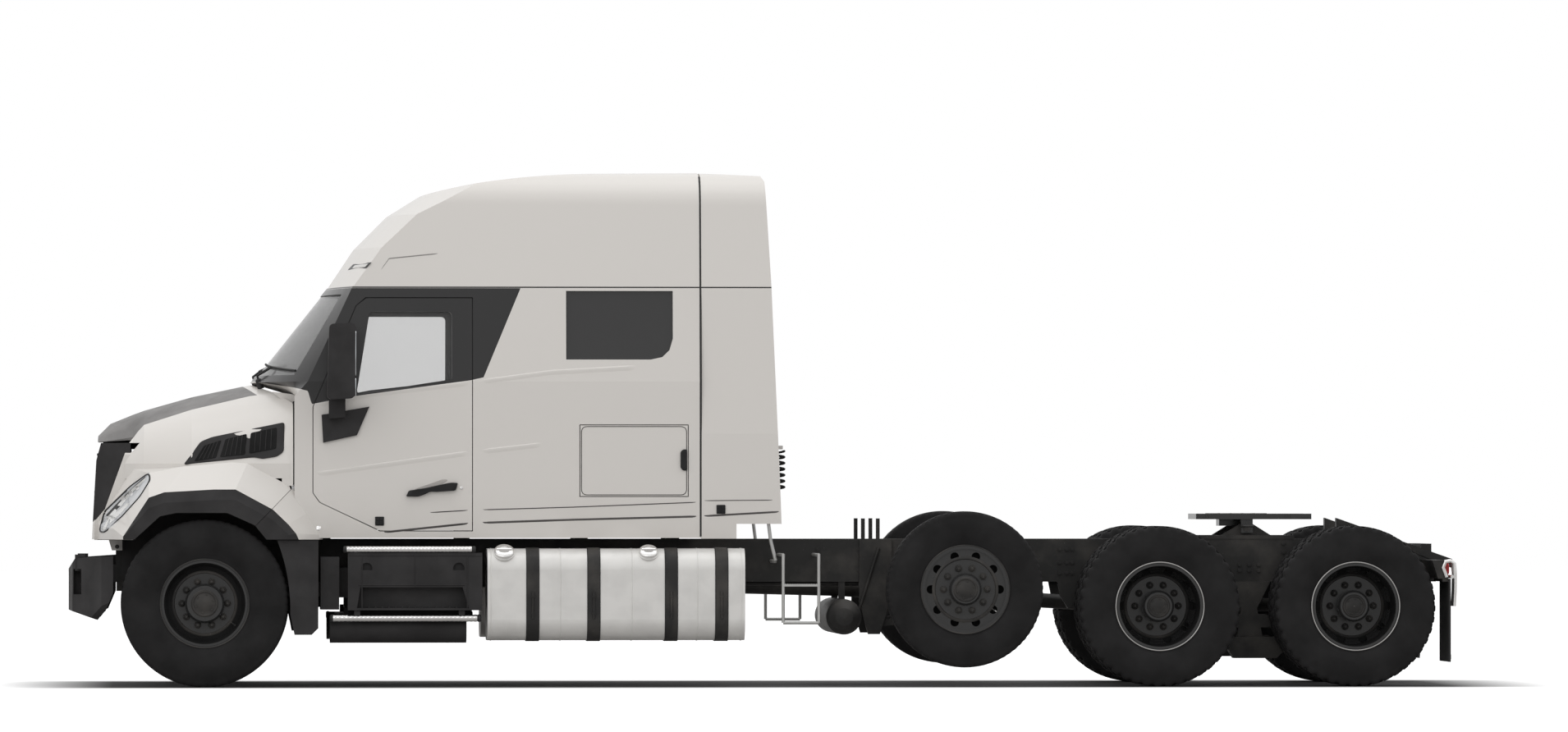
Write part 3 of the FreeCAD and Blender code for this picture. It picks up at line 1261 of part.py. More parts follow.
def build_all():
    """Every sub-part of the tractor."""
    build_frame()
    build_engine()
    build_bumper()
    build_front_axle()
    build_knuckle(LEFT, "knuckle_left")
    build_knuckle(RIGHT, "knuckle_right")
    build_tie_rod()
    for side, word in ((LEFT, "left"), (RIGHT, "right")):
        build_single_wheel(side, "steer_%s" % word, (size(0), S.steer_wheel_y, S.steer_tyre_radius),
                           S.steer_tyre_radius, S.steer_tyre_width, 60, 132, (-55, (95, 145)), 0)
        build_single_wheel(side, "pusher_%s" % word,
                           (S.pusher_x, S.pusher_wheel_y, S.pusher_lift + S.pusher_tyre_radius),
                           S.pusher_tyre_radius, S.drive_tyre_width, 98, 108, (-80, (85, 148)), HAND_HOLES)
        for place_name, step in DRIVE_SIDES:
            build_dual_wheel(side, "drive_%s_%s" % (place_name, word),
                             S.tandem_x + S.tandem_spacing * step)
    build_pusher_axle()
    build_drive_axles()
    build_suspension()
    build_fifth_wheel()
    quarter, flare = build_hood()
    build_grille()
    build_side_equipment(flare)
    build_tail()
    build_cab(quarter)
    build_extenders()
    build_interior()


def check_document():
    """Stop on any failed object or unsound sub-part."""
    doc.recompute()
    for item in doc.Objects:
        if "Invalid" in item.State or "Error" in item.State:
            raise RuntimeError("%s failed: %s" % (item.Name, item.State))
    for name, item in NODES.items():
        if item.Shape.isNull() or not item.Shape.isValid() or not item.Shape.Solids:
            raise RuntimeError("%s is not sound" % name)


build_all()
check_document()
os.makedirs("parts", exist_ok=True)
for name, item in NODES.items():
    item.Shape.exportStep("parts/%s.step" % name)
    print(name, len(item.Shape.Solids), "solids", round(item.Shape.Volume / 1e6, 2), "litres")
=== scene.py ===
"""Looks of a highway tractor unit with a raised lift axle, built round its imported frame."""

from __future__ import annotations

import json
import logging
import math
from dataclasses import dataclass
from enum import Enum
from typing import Iterable, Sequence

import bmesh
import bpy
import numpy as np
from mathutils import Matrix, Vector


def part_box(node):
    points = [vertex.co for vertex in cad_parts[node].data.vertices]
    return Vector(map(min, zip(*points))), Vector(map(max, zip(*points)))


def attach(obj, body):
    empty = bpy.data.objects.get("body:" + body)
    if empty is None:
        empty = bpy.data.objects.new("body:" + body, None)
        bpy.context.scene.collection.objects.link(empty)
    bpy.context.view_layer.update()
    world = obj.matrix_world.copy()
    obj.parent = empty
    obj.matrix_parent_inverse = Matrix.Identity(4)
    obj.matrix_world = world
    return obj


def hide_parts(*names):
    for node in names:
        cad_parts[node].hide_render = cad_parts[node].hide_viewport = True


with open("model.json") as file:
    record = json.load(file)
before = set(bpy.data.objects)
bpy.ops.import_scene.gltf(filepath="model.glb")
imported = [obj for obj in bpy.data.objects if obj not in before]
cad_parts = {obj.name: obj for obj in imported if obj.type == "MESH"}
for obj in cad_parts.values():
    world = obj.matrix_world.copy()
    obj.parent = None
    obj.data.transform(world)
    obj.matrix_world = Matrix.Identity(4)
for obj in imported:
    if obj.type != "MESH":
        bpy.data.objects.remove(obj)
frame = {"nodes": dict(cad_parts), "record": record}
log = logging.getLogger("tractor")
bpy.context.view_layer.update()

Colour = tuple[float, float, float]
Point = tuple[float, float, float]
Pairs = Sequence[tuple[float, float]]
Socket = bpy.types.NodeSocket

# the steer axle's place along the truck, from its wheels; stations below count back from it
AXLE = sum(corner[0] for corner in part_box("steer_left_tyre")) / 2
LEFT, RIGHT = -1.0, 1.0
SIDES = ((LEFT, "left"), (RIGHT, "right"))
BACK, ACROSS, UP = (1.0, 0.0, 0.0), (0.0, 1.0, 0.0), (0.0, 0.0, 1.0)


# ---- finishes ----------------------------------------------------------------------------


class Graph:
    """A material's node tree with one shader, built up a node at a time."""

    def __init__(self, name: str) -> None:
        """Makes the material.

        Args:
            name: the material's name.
        """
        self.material = bpy.data.materials.new(name)
        self.material.use_nodes = True
        self.tree = self.material.node_tree
        self.tree.nodes.clear()
        output = self.add("ShaderNodeOutputMaterial")
        self.shader = self.add("ShaderNodeBsdfPrincipled")
        self.link(self.shader.outputs[0], output.inputs["Surface"])
        self.place = self.add("ShaderNodeTexCoord").outputs["Object"]

    def add(self, kind: str, **settings: object) -> bpy.types.Node:
        """Adds a node, sets its properties and returns it."""
        node = self.tree.nodes.new(kind)
        for key, value in settings.items():
            setattr(node, key, value)
        return node

    def link(self, start: Socket, end: Socket) -> None:
        """Joins two sockets."""
        self.tree.links.new(start, end)

    def feed(self, **sockets: Socket) -> None:
        """Joins sockets to the shader's own, named with _ for a space."""
        for key, socket in sockets.items():
            self.link(socket, self.shader.inputs[key.replace("_", " ")])

    def set(self, **values: object) -> None:
        """Sets constant values on the shader's own sockets, named with _ for a space."""
        for key, value in values.items():
            if isinstance(value, tuple):
                value = (*value, 1.0)
            self.shader.inputs[key.replace("_", " ")].default_value = value

    def axes(self) -> Sequence[Socket]:
        """Returns the object's own coordinates as sockets X, Y and Z."""
        split = self.add("ShaderNodeSeparateXYZ")
        self.link(self.place, split.inputs[0])
        return split.outputs

    def stretched(self, scale: Point) -> Socket:
        """Returns the object's own coordinates, stretched along each axis."""
        mapping = self.add("ShaderNodeMapping")
        mapping.inputs["Scale"].default_value = scale
        self.link(self.place, mapping.inputs["Vector"])
        return mapping.outputs[0]

    def noise(self, scale: float, detail: float = 4.0, along: Socket | None = None) -> Socket:
        """Cloudy noise.

        Args:
            scale: features per metre.
            detail: how many finer layers it has.
            along: coordinates to use in place of the object's own.

        Returns:
            The noise's value, 0 to 1.
        """
        node = self.add("ShaderNodeTexNoise")
        node.inputs["Scale"].default_value = scale
        node.inputs["Detail"].default_value = detail
        self.link(along or self.place, node.inputs["Vector"])
        return node.outputs[0]

    def grain(self, scale: float) -> Socket:
        """Returns the distance to the nearest cell centre, for moulded or cast grain."""
        node = self.add("ShaderNodeTexVoronoi")
        node.inputs["Scale"].default_value = scale
        self.link(self.place, node.inputs["Vector"])
        return node.outputs["Distance"]

    def wave(self, axis: str, scale: float, wobble: float = 0.0) -> Socket:
        """Returns waves along an axis, 0 to 1, of a scale per metre and bent by a wobble."""
        node = self.add("ShaderNodeTexWave", bands_direction=axis)
        node.inputs["Scale"].default_value = scale
        node.inputs["Distortion"].default_value = wobble
        self.link(self.place, node.inputs["Vector"])
        return node.outputs[0]

    def spread(self, value: Socket, low: float, high: float, start: float = 0.0, end: float = 1.0) -> Socket:
        """Maps a value's range start to end onto low to high, clamped.

        Args:
            value: the socket to map.
            low: result at start.
            high: result at end.
            start: lower end of the range taken.
            end: upper end of the range taken.

        Returns:
            The mapped value.
        """
        node = self.add("ShaderNodeMapRange")
        for key, number in (("From Min", start), ("From Max", end), ("To Min", low), ("To Max", high)):
            node.inputs[key].default_value = number
        self.link(value, node.inputs["Value"])
        return node.outputs[0]

    def blend(self, factor: Socket, first: Colour | Socket, second: Colour | Socket) -> Socket:
        """Mixes two colours.

        Args:
            factor: 0 gives the first, 1 the second.
            first: a plain colour, or a socket.
            second: a plain colour, or a socket.

        Returns:
            The mixed colour.
        """
        node = self.add("ShaderNodeMix", data_type="RGBA")
        self.link(factor, node.inputs["Factor"])
        for key, colour in (("A", first), ("B", second)):
            if isinstance(colour, tuple):
                node.inputs[key].default_value = (*colour, 1.0)
            else:
                self.link(colour, node.inputs[key])
        return node.outputs["Result"]

    def math(self, operation: str, *values: Socket | float) -> Socket:
        """Joins sockets or numbers by an operation."""
        node = self.add("ShaderNodeMath", operation=operation)
        for socket, value in zip(node.inputs, values):
            if isinstance(value, (int, float)):
                socket.default_value = value
            else:
                self.link(value, socket)
        return node.outputs[0]

    def line(self, along: Socket, corners: Pairs) -> Socket:
        """The height of a broken line at each place along it.

        Args:
            along: the place.
            corners: the line's (place, height) corners.

        Returns:
            The height there.
        """
        places, heights = zip(*corners)
        share = self.spread(along, 0.0, 1.0, places[0], places[-1])
        node = self.add("ShaderNodeFloatCurve")
        curve = node.mapping.curves[0]
        while len(curve.points) < len(corners):
            curve.points.new(0.5, 0.5)
        low, span = min(heights), max(heights) - min(heights)
        for point, (place, height) in zip(curve.points, corners):
            point.location = ((place - places[0]) / (places[-1] - places[0]), (height - low) / span)
            point.handle_type = "VECTOR"
        node.mapping.update()
        self.link(share, node.inputs["Value"])
        return self.spread(node.outputs[0], low, low + span)

    def bump(self, height: Socket, strength: float, depth: float) -> None:
        """Roughens the shader's normal.

        Args:
            height: the relief, 0 to 1.
            strength: how much of it shows.
            depth: the relief's depth in metres.
        """
        node = self.add("ShaderNodeBump")
        node.inputs["Strength"].default_value = strength
        node.inputs["Distance"].default_value = depth
        self.link(height, node.inputs["Height"])
        self.feed(Normal=node.outputs[0])


@dataclass(frozen=True)
class Finish:
    """A surface's name, main colour, and the record's slot that it mostly goes with."""

    name: str
    colour: Colour
    slot: str

    def material(self) -> bpy.types.Material:
        """Returns the finish's material, made once."""
        found = bpy.data.materials.get(self.name)
        if found:
            return found
        graph = Graph(self.name)
        self.make(graph)
        return graph.material

    def toned(self, factor: float, lift: float = 0.0) -> Colour:
        """Returns the main colour made lighter or darker by a factor, plus a lift."""
        return tuple(min(1.0, part * factor + lift) for part in self.colour)

    def make(self, graph: Graph) -> None:
        """Adds the finish's own nodes to an empty graph."""
        raise NotImplementedError


@dataclass(frozen=True)
class BodyPaint(Finish):
    """Clear-coated body paint, darker low down from painted shade mixed with road dust, and the black band
    round the windows.

    The band lies above the belt line, below the roof seam and ahead of a slanted rear edge.
    """

    # this dust colour also paints shade on the lower body, which gets darker towards the bottom
    dust: Colour = (0.42, 0.39, 0.35)
    shade_and_dust_top: float = 1.35
    roughness: float = 0.32
    coat: float = 0.3
    band: Colour = (0.012, 0.0115, 0.012)
    belt: tuple[tuple[float, float], ...] = (
        (0.30, 2.062), (0.60, 2.01), (0.69, 1.986), (0.716, 1.898), (1.014, 1.953), (1.78, 2.058),
        (1.90, 2.085))
    seam: float = 2.684
    rear_foot: tuple[float, float] = (1.874, 2.091)
    rear_slant: float = 0.4144

    def banded(self, graph: Graph, axes: Sequence[Socket]) -> Socket:
        """Returns 1 on the black band, 0 elsewhere."""
        along = graph.math("SUBTRACT", axes["X"], AXLE)
        up = axes["Z"]
        above = graph.math("GREATER_THAN", up, graph.line(along, self.belt))
        below = graph.math("LESS_THAN", up, self.seam - 0.006)
        edge = graph.math("MULTIPLY_ADD", up, self.rear_slant,
                          self.rear_foot[0] - self.rear_foot[1] * self.rear_slant)
        ahead = graph.math("LESS_THAN", along, edge)
        band = graph.math("MULTIPLY", graph.math("MULTIPLY", above, below), ahead)
        off_seam = graph.math("ABSOLUTE", graph.math("SUBTRACT", up, self.seam))
        return graph.math("MAXIMUM", band, graph.math("LESS_THAN", off_seam, 0.0045))

    def make(self, graph: Graph) -> None:
        """Lays painted shade and dust in clouds low down, darker towards the bottom, then the band over it.
        """
        axes = graph.axes()
        # painted shade mixed with road dust: darker towards the bottom, in clouds
        low_down = graph.spread(axes["Z"], 1.0, 0.0, 0.9, self.shade_and_dust_top)
        cloud = graph.spread(graph.noise(3.2, 8.0), 0.12, 0.34, 0.42, 0.75)
        dusted_and_shaded = graph.blend(graph.math("MULTIPLY", low_down, cloud), self.colour, self.dust)
        graph.feed(Base_Color=graph.blend(self.banded(graph, axes), dusted_and_shaded, self.band),
                   Roughness=graph.spread(graph.noise(9.0), self.roughness - 0.05, self.roughness + 0.07))
        graph.set(Coat_Weight=self.coat, Coat_Roughness=0.08, IOR=1.5, Specular_IOR_Level=0.35)
        graph.bump(graph.noise(420.0, 2.0), 0.05, 0.0006)


@dataclass(frozen=True)
class Moulded(Finish):
    """Moulded plastic or rubber: two close tones under a fine cell grain."""

    roughness: float = 0.55
    cells: float = 700.0
    relief: float = 0.18
    lighter: float = 1.5
    shine: float = 0.2

    def make(self, graph: Graph) -> None:
        """Mixes the tones in clouds and adds the grain."""
        cloud = graph.spread(graph.noise(5.0, 7.0), 0.0, 1.0, 0.35, 0.75)
        graph.feed(Base_Color=graph.blend(cloud, self.colour, self.toned(self.lighter, 0.004)),
                   Roughness=graph.spread(graph.noise(14.0), self.roughness - 0.08, self.roughness + 0.1))
        graph.set(IOR=1.46, Specular_IOR_Level=self.shine)
        graph.bump(graph.grain(self.cells), self.relief, 0.0008)


@dataclass(frozen=True)
class ChassisCoat(Finish):
    """Black chassis enamel with a film of dust and tiny chips."""

    dust: Colour = (0.16, 0.145, 0.13)
    chip: Colour = (0.2, 0.19, 0.18)
    roughness: float = 0.42
    metal: float = 0.0

    def make(self, graph: Graph) -> None:
        """Lays the film, then the chips over it."""
        film = graph.spread(graph.noise(4.0, 9.0), 0.0, 0.35, 0.45, 0.8)
        chips = graph.spread(graph.noise(90.0, 2.0), 0.0, 0.5, 0.73, 0.78)
        graph.feed(Base_Color=graph.blend(chips, graph.blend(film, self.colour, self.dust), self.chip),
                   Roughness=graph.spread(graph.noise(22.0), self.roughness - 0.08, self.roughness + 0.16))
        graph.set(Metallic=self.metal, Specular_IOR_Level=0.25)
        graph.bump(graph.noise(160.0, 3.0), 0.16, 0.0008)


@dataclass(frozen=True)
class BareMetal(Finish):
    """Satin or bright metal, rolled or brushed along one direction."""

    roughness: float = 0.3
    brushed: Point = (2.0, 60.0, 400.0)
    metallic: float = 1.0

    def make(self, graph: Graph) -> None:
        """Dulls it in clouds and adds the brushed lines."""
        lines = graph.noise(1.0, 6.0, graph.stretched(self.brushed))
        cloud = graph.spread(graph.noise(6.0, 8.0), 0.0, 0.7, 0.4, 0.75)
        graph.feed(Base_Color=graph.blend(cloud, self.colour, self.toned(0.8)),
                   Roughness=graph.spread(lines, self.roughness - 0.07, self.roughness + 0.12))
        graph.set(Metallic=self.metallic)
        graph.bump(lines, 0.05, 0.0005)


@dataclass(frozen=True)
class Pane(Finish):
    """Window or lamp glass that light passes through, with a faint film of dust.

    Behind the station rear_from it has another cover and colour.
    """

    cover: float = 0.3
    roughness: float = 0.04
    rear_from: float | None = None
    rear_cover: float = 0.97
    rear_colour: Colour = (0.03, 0.0295, 0.03)
    dust: Colour = (0.4, 0.39, 0.37)

    def make(self, graph: Graph) -> None:
        """Lays the film, and darkens the rear panes where it has any."""
        film = graph.spread(graph.noise(7.0, 8.0), 0.0, 0.25, 0.5, 0.8)
        graph.feed(Base_Color=graph.blend(film, self.colour, self.dust),
                   Roughness=graph.spread(film, self.roughness, self.roughness + 0.15, 0.0, 0.25))
        graph.set(Alpha=self.cover, IOR=1.5, Coat_Weight=0.2, Coat_Roughness=0.02, Specular_IOR_Level=0.4)
        if self.rear_from is not None:
            rear = graph.math("GREATER_THAN", graph.axes()["X"], AXLE + self.rear_from)
            graph.feed(Alpha=graph.spread(rear, self.cover, self.rear_cover),
                       Base_Color=graph.blend(rear, self.colour, self.rear_colour))


@dataclass(frozen=True)
class Lens(Finish):
    """A moulded lamp lens with fine fluting."""

    flutes: float = 260.0

    def make(self, graph: Graph) -> None:
        """Darkens and sinks it between the flutes."""
        wave = graph.wave("X", self.flutes)
        graph.feed(Base_Color=graph.blend(wave, self.colour, self.toned(0.7)),
                   Roughness=graph.spread(graph.noise(20.0), 0.08, 0.2))
        graph.set(Coat_Weight=0.8, Coat_Roughness=0.03)
        graph.bump(wave, 0.3, 0.001)


@dataclass(frozen=True)
class Weave(Finish):
    """Woven seat cloth: two crossing threads, soft sheen."""

    threads: float = 520.0

    def make(self, graph: Graph) -> None:
        """Crosses waves along Y and Z."""
        across, up = (graph.wave(axis, self.threads / 6.0, 0.6) for axis in ("Y", "Z"))
        crossing = graph.math("MAXIMUM", across, up)
        graph.feed(Base_Color=graph.blend(crossing, self.colour, self.toned(1.7)),
                   Roughness=graph.spread(graph.noise(12.0), 0.75, 0.95))
        graph.set(Sheen_Weight=0.3, Sheen_Roughness=0.5)
        graph.bump(crossing, 0.35, 0.0008)


BODY_WHITE = BodyPaint("body_white", (0.665, 0.64, 0.61), "cab_paint")
TANK_SATIN = BareMetal("tank_satin", (0.72, 0.71, 0.69), "tank_metal", roughness=0.42, metallic=0.35)
BRIGHT = BareMetal("bright_trim", (0.78, 0.77, 0.76), "aluminium", roughness=0.2)
CAST_ALLOY = BareMetal("cast_alloy", (0.5, 0.5, 0.49), "aluminium", roughness=0.45,
                       brushed=(80.0, 80.0, 80.0))
TRIM_GREY = Moulded("trim_grey", (0.024, 0.023, 0.0235), "dark_plastic")
CAP_GREY = Moulded("cap_grey", (0.15, 0.145, 0.142), "dark_plastic", roughness=0.42)
RUBBER = Moulded("rubber", (0.012, 0.012, 0.012), "rubber", roughness=0.7, cells=900.0)
TYRE = Moulded("tyre_rubber", (0.0105, 0.0102, 0.0105), "tyre", roughness=0.72, cells=650.0, relief=0.25)
CHASSIS = ChassisCoat("chassis_black", (0.02, 0.0195, 0.019), "frame_black")
WHEEL_BLACK = ChassisCoat("wheel_black", (0.018, 0.0175, 0.017), "wheel_black", roughness=0.36)
CASTING = ChassisCoat("cast_iron", (0.04, 0.038, 0.036), "cast_iron", roughness=0.6, metal=0.3)
CLEAR_GLASS = Pane("clear_glass", (0.26, 0.26, 0.26), "glass", cover=0.15)
FIXED_GLASS = Pane("fixed_glass", (0.2, 0.2, 0.2), "glass", cover=0.5, rear_from=1.9)
LAMP_GLASS = Pane("lamp_glass", (0.5, 0.5, 0.5), "lamp_glass", cover=0.55, roughness=0.06)
RED_LENS = Lens("red_lens", (0.35, 0.012, 0.01), "red_lens")
SEAT_CLOTH = Weave("seat_cloth", (0.05, 0.05, 0.052), "cabin_trim")
CABIN_TRIM = Moulded("cabin_trim", (0.09, 0.088, 0.085), "cabin_trim", roughness=0.65)
# painted shade: a darker paint tone in the recess behind each door handle
BOWL_SHADE = Moulded("handle_bowl_shade", (0.42, 0.40, 0.38), "cab_paint", roughness=0.4, relief=0.05, lighter=1.1)
GLOSS_BLACK = Moulded("gloss_black", (0.014, 0.014, 0.0145), "dark_plastic", roughness=0.3, relief=0.06)
# painted shade: a near-black for openings, the inside of rims and the recess under the step, where light
# doesn't reach
SHADE_BLACK = Moulded("opening_shade", (0.006, 0.006, 0.006), "dark_plastic", roughness=0.8, relief=0.05)
HOSE_BLACK = Moulded("hose_black", (0.02, 0.02, 0.021), "hose", roughness=0.42, relief=0.08)
GREASE = Moulded("grease", (0.03, 0.024, 0.016), "frame_black", roughness=0.28, cells=160.0, relief=0.3)
NUT_BLACK = ChassisCoat("nut_black", (0.024, 0.023, 0.022), "wheel_black", roughness=0.4)
# painted highlight: a bright metal ring on the edge of the black twin-wheel rims
RIM_HIGHLIGHT = BareMetal("rim_highlight", (0.42, 0.41, 0.4), "wheel_black", roughness=0.34, metallic=0.8)
MIRROR = BareMetal("mirror_glass", (0.62, 0.64, 0.66), "glass", roughness=0.09)
PALE_LENS = Lens("pale_lens", (0.62, 0.6, 0.56), "lamp_glass")
# painted shade: dark strips that stand for the shade in the grooves and creases of the body
GROOVE_SHADE = Moulded("groove_shade", (0.085, 0.08, 0.078), "cab_paint", roughness=0.5, relief=0.04)
GROOVE_SHADE_SOFT = Moulded("groove_shade_soft", (0.3, 0.29, 0.28), "cab_paint", roughness=0.5, relief=0.04, lighter=1.1)
STRIP_WHITE = Lens("lamp_strip", (0.82, 0.82, 0.8), "lamp_glass", flutes=120.0)

# what a packed sub-part takes by its slot, and the two that differ from their slot's finish
SLOT_FINISHES: dict[str, Finish] = {
    finish.slot: finish
    for finish in (BODY_WHITE, TANK_SATIN, TRIM_GREY, CHASSIS, WHEEL_BLACK, TYRE, CLEAR_GLASS,
                                       LAMP_GLASS, RED_LENS, RUBBER, CABIN_TRIM, CAST_ALLOY, CASTING)}
SLOT_FINISHES["hose"] = RUBBER
NODE_FINISHES: dict[str, Finish] = {"fixed_glass": FIXED_GLASS, "hood_cap": CAP_GREY}


def dress() -> None:
    """Gives every packed sub-part one material, by its slot in the record."""
    wanted = {part["node"]: part["material_slot"] for part in frame["record"]["subparts"]}
    for name, body in frame["nodes"].items():
        body.data.materials.clear()
        body.data.materials.append(NODE_FINISHES.get(name, SLOT_FINISHES[wanted[name]]).material())
    log.info("dressed %d sub-parts", len(frame["nodes"]))


# ---- surfaces ----------------------------------------------------------------------------


def faces_of(rows: int, columns: int, closed: bool) -> np.ndarray:
    """Quads between neighbours of a grid, worked out as whole arrays.

    Args:
        rows: points along the first parameter.
        columns: points along the second.
        closed: whether the last column joins the first.

    Returns:
        The quads' corner numbers, four to a row.
    """
    number = np.arange(rows * columns).reshape(rows, columns)
    ahead = np.roll(number, -1, axis=1)
    if not closed:
        number, ahead = number[:, :-1], ahead[:, :-1]
    return np.stack((number[:-1], number[1:], ahead[1:], ahead[:-1]), axis=-1).reshape(-1, 4)


@dataclass
class Skin:
    """A surface as a grid of points, rows by columns."""

    points: np.ndarray
    closed: bool = True

    def copies(self, moved: np.ndarray) -> list["Skin"]:
        """Returns one skin for each block of already moved points."""
        return [Skin(block, self.closed) for block in moved]


def turned(profile: Pairs, centre: Point, way: Point, steps: int = 48) -> Skin:
    """A surface of revolution: each profile point (radius, along) is carried round the axle.

    Point = centre + along * way + radius * (cos a * side + sin a * up), a from 0 to a full turn.

    Args:
        profile: radius and distance along the axle, from one end to the other.
        centre: the axle's zero point.
        way: the axle's direction.
        steps: points round the turn.

    Returns:
        The surface.
    """
    axle = np.array(way, float) / np.linalg.norm(way)
    helper = np.array(UP) if abs(axle[2]) < 0.9 else np.array(BACK)
    side = np.cross(helper, axle)
    side /= np.linalg.norm(side)
    up = np.cross(axle, side)
    angle = np.linspace(0.0, 2 * np.pi, steps, endpoint=False)
    ring = np.cos(angle)[:, None] * side + np.sin(angle)[:, None] * up
    radius, along = np.array(profile, float).T
    return Skin(np.array(centre) + along[:, None, None] * axle + radius[:, None, None] * ring[None])


def tube(path: np.ndarray, radius: float, steps: int = 10, lift: Point = UP) -> Skin:
    """A round tube: a circle carried square to a path, drawn to a point at both ends.

    Args:
        path: points along the middle, one to a row.
        radius: the tube's radius.
        steps: points round the circle.
        lift: a direction that the path never runs along.

    Returns:
        The surface.
    """
    path = np.asarray(path, float)
    path = np.concatenate((path[:1], path, path[-1:]))
    run = np.gradient(path, axis=0)
    run[0], run[-1] = run[1], run[-2]
    run /= np.linalg.norm(run, axis=1)[:, None]
    side = np.cross(np.array(lift), run)
    side /= np.linalg.norm(side, axis=1)[:, None]
    up = np.cross(run, side)
    angle = np.linspace(0.0, 2 * np.pi, steps, endpoint=False)
    size = np.full(len(path), radius)
    size[0] = size[-1] = 0.0
    circle = np.cos(angle)[None, :, None] * side[:, None] + np.sin(angle)[None, :, None] * up[:, None]
    return Skin(path[:, None] + size[:, None, None] * circle)


def rod(start: Point, stop: Point, radius: float, steps: int = 6, lift: Point = UP) -> Skin:
    """A straight tube between two places given as (station, across, height).

    Args:
        start: one end.
        stop: the other end.
        radius: its radius.
        steps: points round it.
        lift: a direction that it doesn't run along.

    Returns:
        The surface.
    """
    return tube(np.array((start, stop)) + (AXLE, 0.0, 0.0), radius, steps, lift)


def mm(*numbers: float) -> np.ndarray:
    """Corners given in millimetres one number after another, as (across, up) in metres."""
    return np.reshape(numbers, (-1, 2)) / 1000.0


def rounded(corners: np.ndarray | Pairs, radius: float, steps: int = 6) -> np.ndarray:
    """A closed outline with every corner replaced by a smooth curve.

    Each corner's curve is the quadratic one from a point before it to a point after it:
    (1-t)^2 before + 2t(1-t) corner + t^2 after.

    Args:
        corners: the sharp outline's corners.
        radius: how far from a corner its curve begins.
        steps: points in each curve.

    Returns:
        Outline points, one to a row.
    """
    tips = np.array(corners, float)
    before, after = np.roll(tips, 1, axis=0) - tips, np.roll(tips, -1, axis=0) - tips
    spans = [np.linalg.norm(leg, axis=1)[:, None] for leg in (before, after)]
    start = tips + before * np.minimum(radius / spans[0], 0.45)
    stop = tips + after * np.minimum(radius / spans[1], 0.45)
    t = np.linspace(0.0, 1.0, steps)[None, :, None]
    curve = (1 - t) ** 2 * start[:, None] + 2 * t * (1 - t) * tips[:, None] + t**2 * stop[:, None]
    return curve.reshape(-1, 2)


def panel(left: float, right: float, low: float, high: float, radius: float) -> np.ndarray:
    """Returns a rounded rectangle's outline."""
    return rounded([(left, low), (right, low), (right, high), (left, high)], radius)


FACE_RINGS = (0.85, 0.7, 0.55, 0.4, 0.25)    # a plate's face has rings at these shares of its outline


def plate(outline: np.ndarray, layers: Pairs) -> np.ndarray:
    """A pad with shaped edges: its outline drawn in and raised, layer by layer, to its middle.

    Ring k = middle + (outline - middle) * (1 - inset_k / distance), at height_k.

    Args:
        outline: closed outline, one point to a row.
        layers: inset and height of each ring.

    Returns:
        Grid of (across, up, height), rings by outline points.
    """
    middle = outline.mean(axis=0)
    spoke = outline - middle
    reach = np.linalg.norm(spoke, axis=1)[:, None]
    rings = [np.concatenate((middle + spoke * np.maximum(0.0, 1 - inset / reach),
                             np.full((len(outline), 1), height)), axis=1) for inset, height in layers]
    face = rings[-1]
    hub = np.append(middle, layers[-1][1])
    rings += [hub + (face - hub) * share for share in FACE_RINGS]
    first, last = rings[0].copy(), rings[-1].copy()
    first[:, :2], last[:, :2] = middle, middle
    return np.stack([first, *rings, last])


SHEET = ((0.0, -0.0015), (0.0, 0.0015))    # the layers of a plain sheet 3 mm thick


def soft_edge(height: float, edge: float) -> list[tuple[float, float]]:
    """Layers of a plate with a rounded front edge, from its back to its front."""
    return [(0.0, 0.0), (0.0, height - edge), (edge * 0.3, height - edge * 0.3), (edge, height)]


def upright(grid: np.ndarray, y: float) -> Skin:
    """Returns a plate's grid stood up along the truck, with its thickness across it at y."""
    return Skin(np.stack((grid[..., 0] + AXLE, y + grid[..., 2], grid[..., 1]), -1))


def facing_back(grid: np.ndarray, x: float, side: float) -> Skin:
    """Returns a plate's grid stood up across the truck, with its thickness pointing back from x."""
    return Skin(np.stack((x + grid[..., 2], side * grid[..., 0], grid[..., 1]), -1))


def landed(points: np.ndarray, node: str, way: int, sign: float) -> np.ndarray:
    """Drops points onto a sub-part's surface along an axis.

    Args:
        points: starting points outside the surface.
        node: the name of a sub-part or of an added piece.
        way: 0, 1 or 2 for X, Y or Z.
        sign: -1 looks down the axis, 1 looks up it.

    Returns:
        Where the points land, in the same shape. One that misses stays where it starts.
    """
    flat = np.ascontiguousarray(points.reshape(-1, 3), dtype=np.float32)
    mesh = bpy.data.meshes.new("probe")
    mesh.vertices.add(len(flat))
    mesh.vertices.foreach_set("co", flat.ravel())
    probe = bpy.data.objects.new("probe", mesh)
    bpy.context.scene.collection.objects.link(probe)
    wrap = probe.modifiers.new("drop", "SHRINKWRAP")
    wrap.wrap_method = "PROJECT"
    wrap.target = frame["nodes"].get(node) or bpy.data.objects[node]
    wrap.use_project_x, wrap.use_project_y, wrap.use_project_z = way == 0, way == 1, way == 2
    wrap.use_positive_direction, wrap.use_negative_direction = sign > 0, sign < 0
    found = probe.evaluated_get(bpy.context.evaluated_depsgraph_get()).to_mesh()
    result = np.empty(len(flat) * 3, np.float32)
    found.vertices.foreach_get("co", result)
    bpy.data.objects.remove(probe)
    bpy.data.meshes.remove(mesh)
    return result.reshape(points.shape).astype(float)


START_OUT = 1.6     # points start this far from the middle, outside the whole truck
HOOD_REACH = 1.3    # no part of the hood is this far from the middle


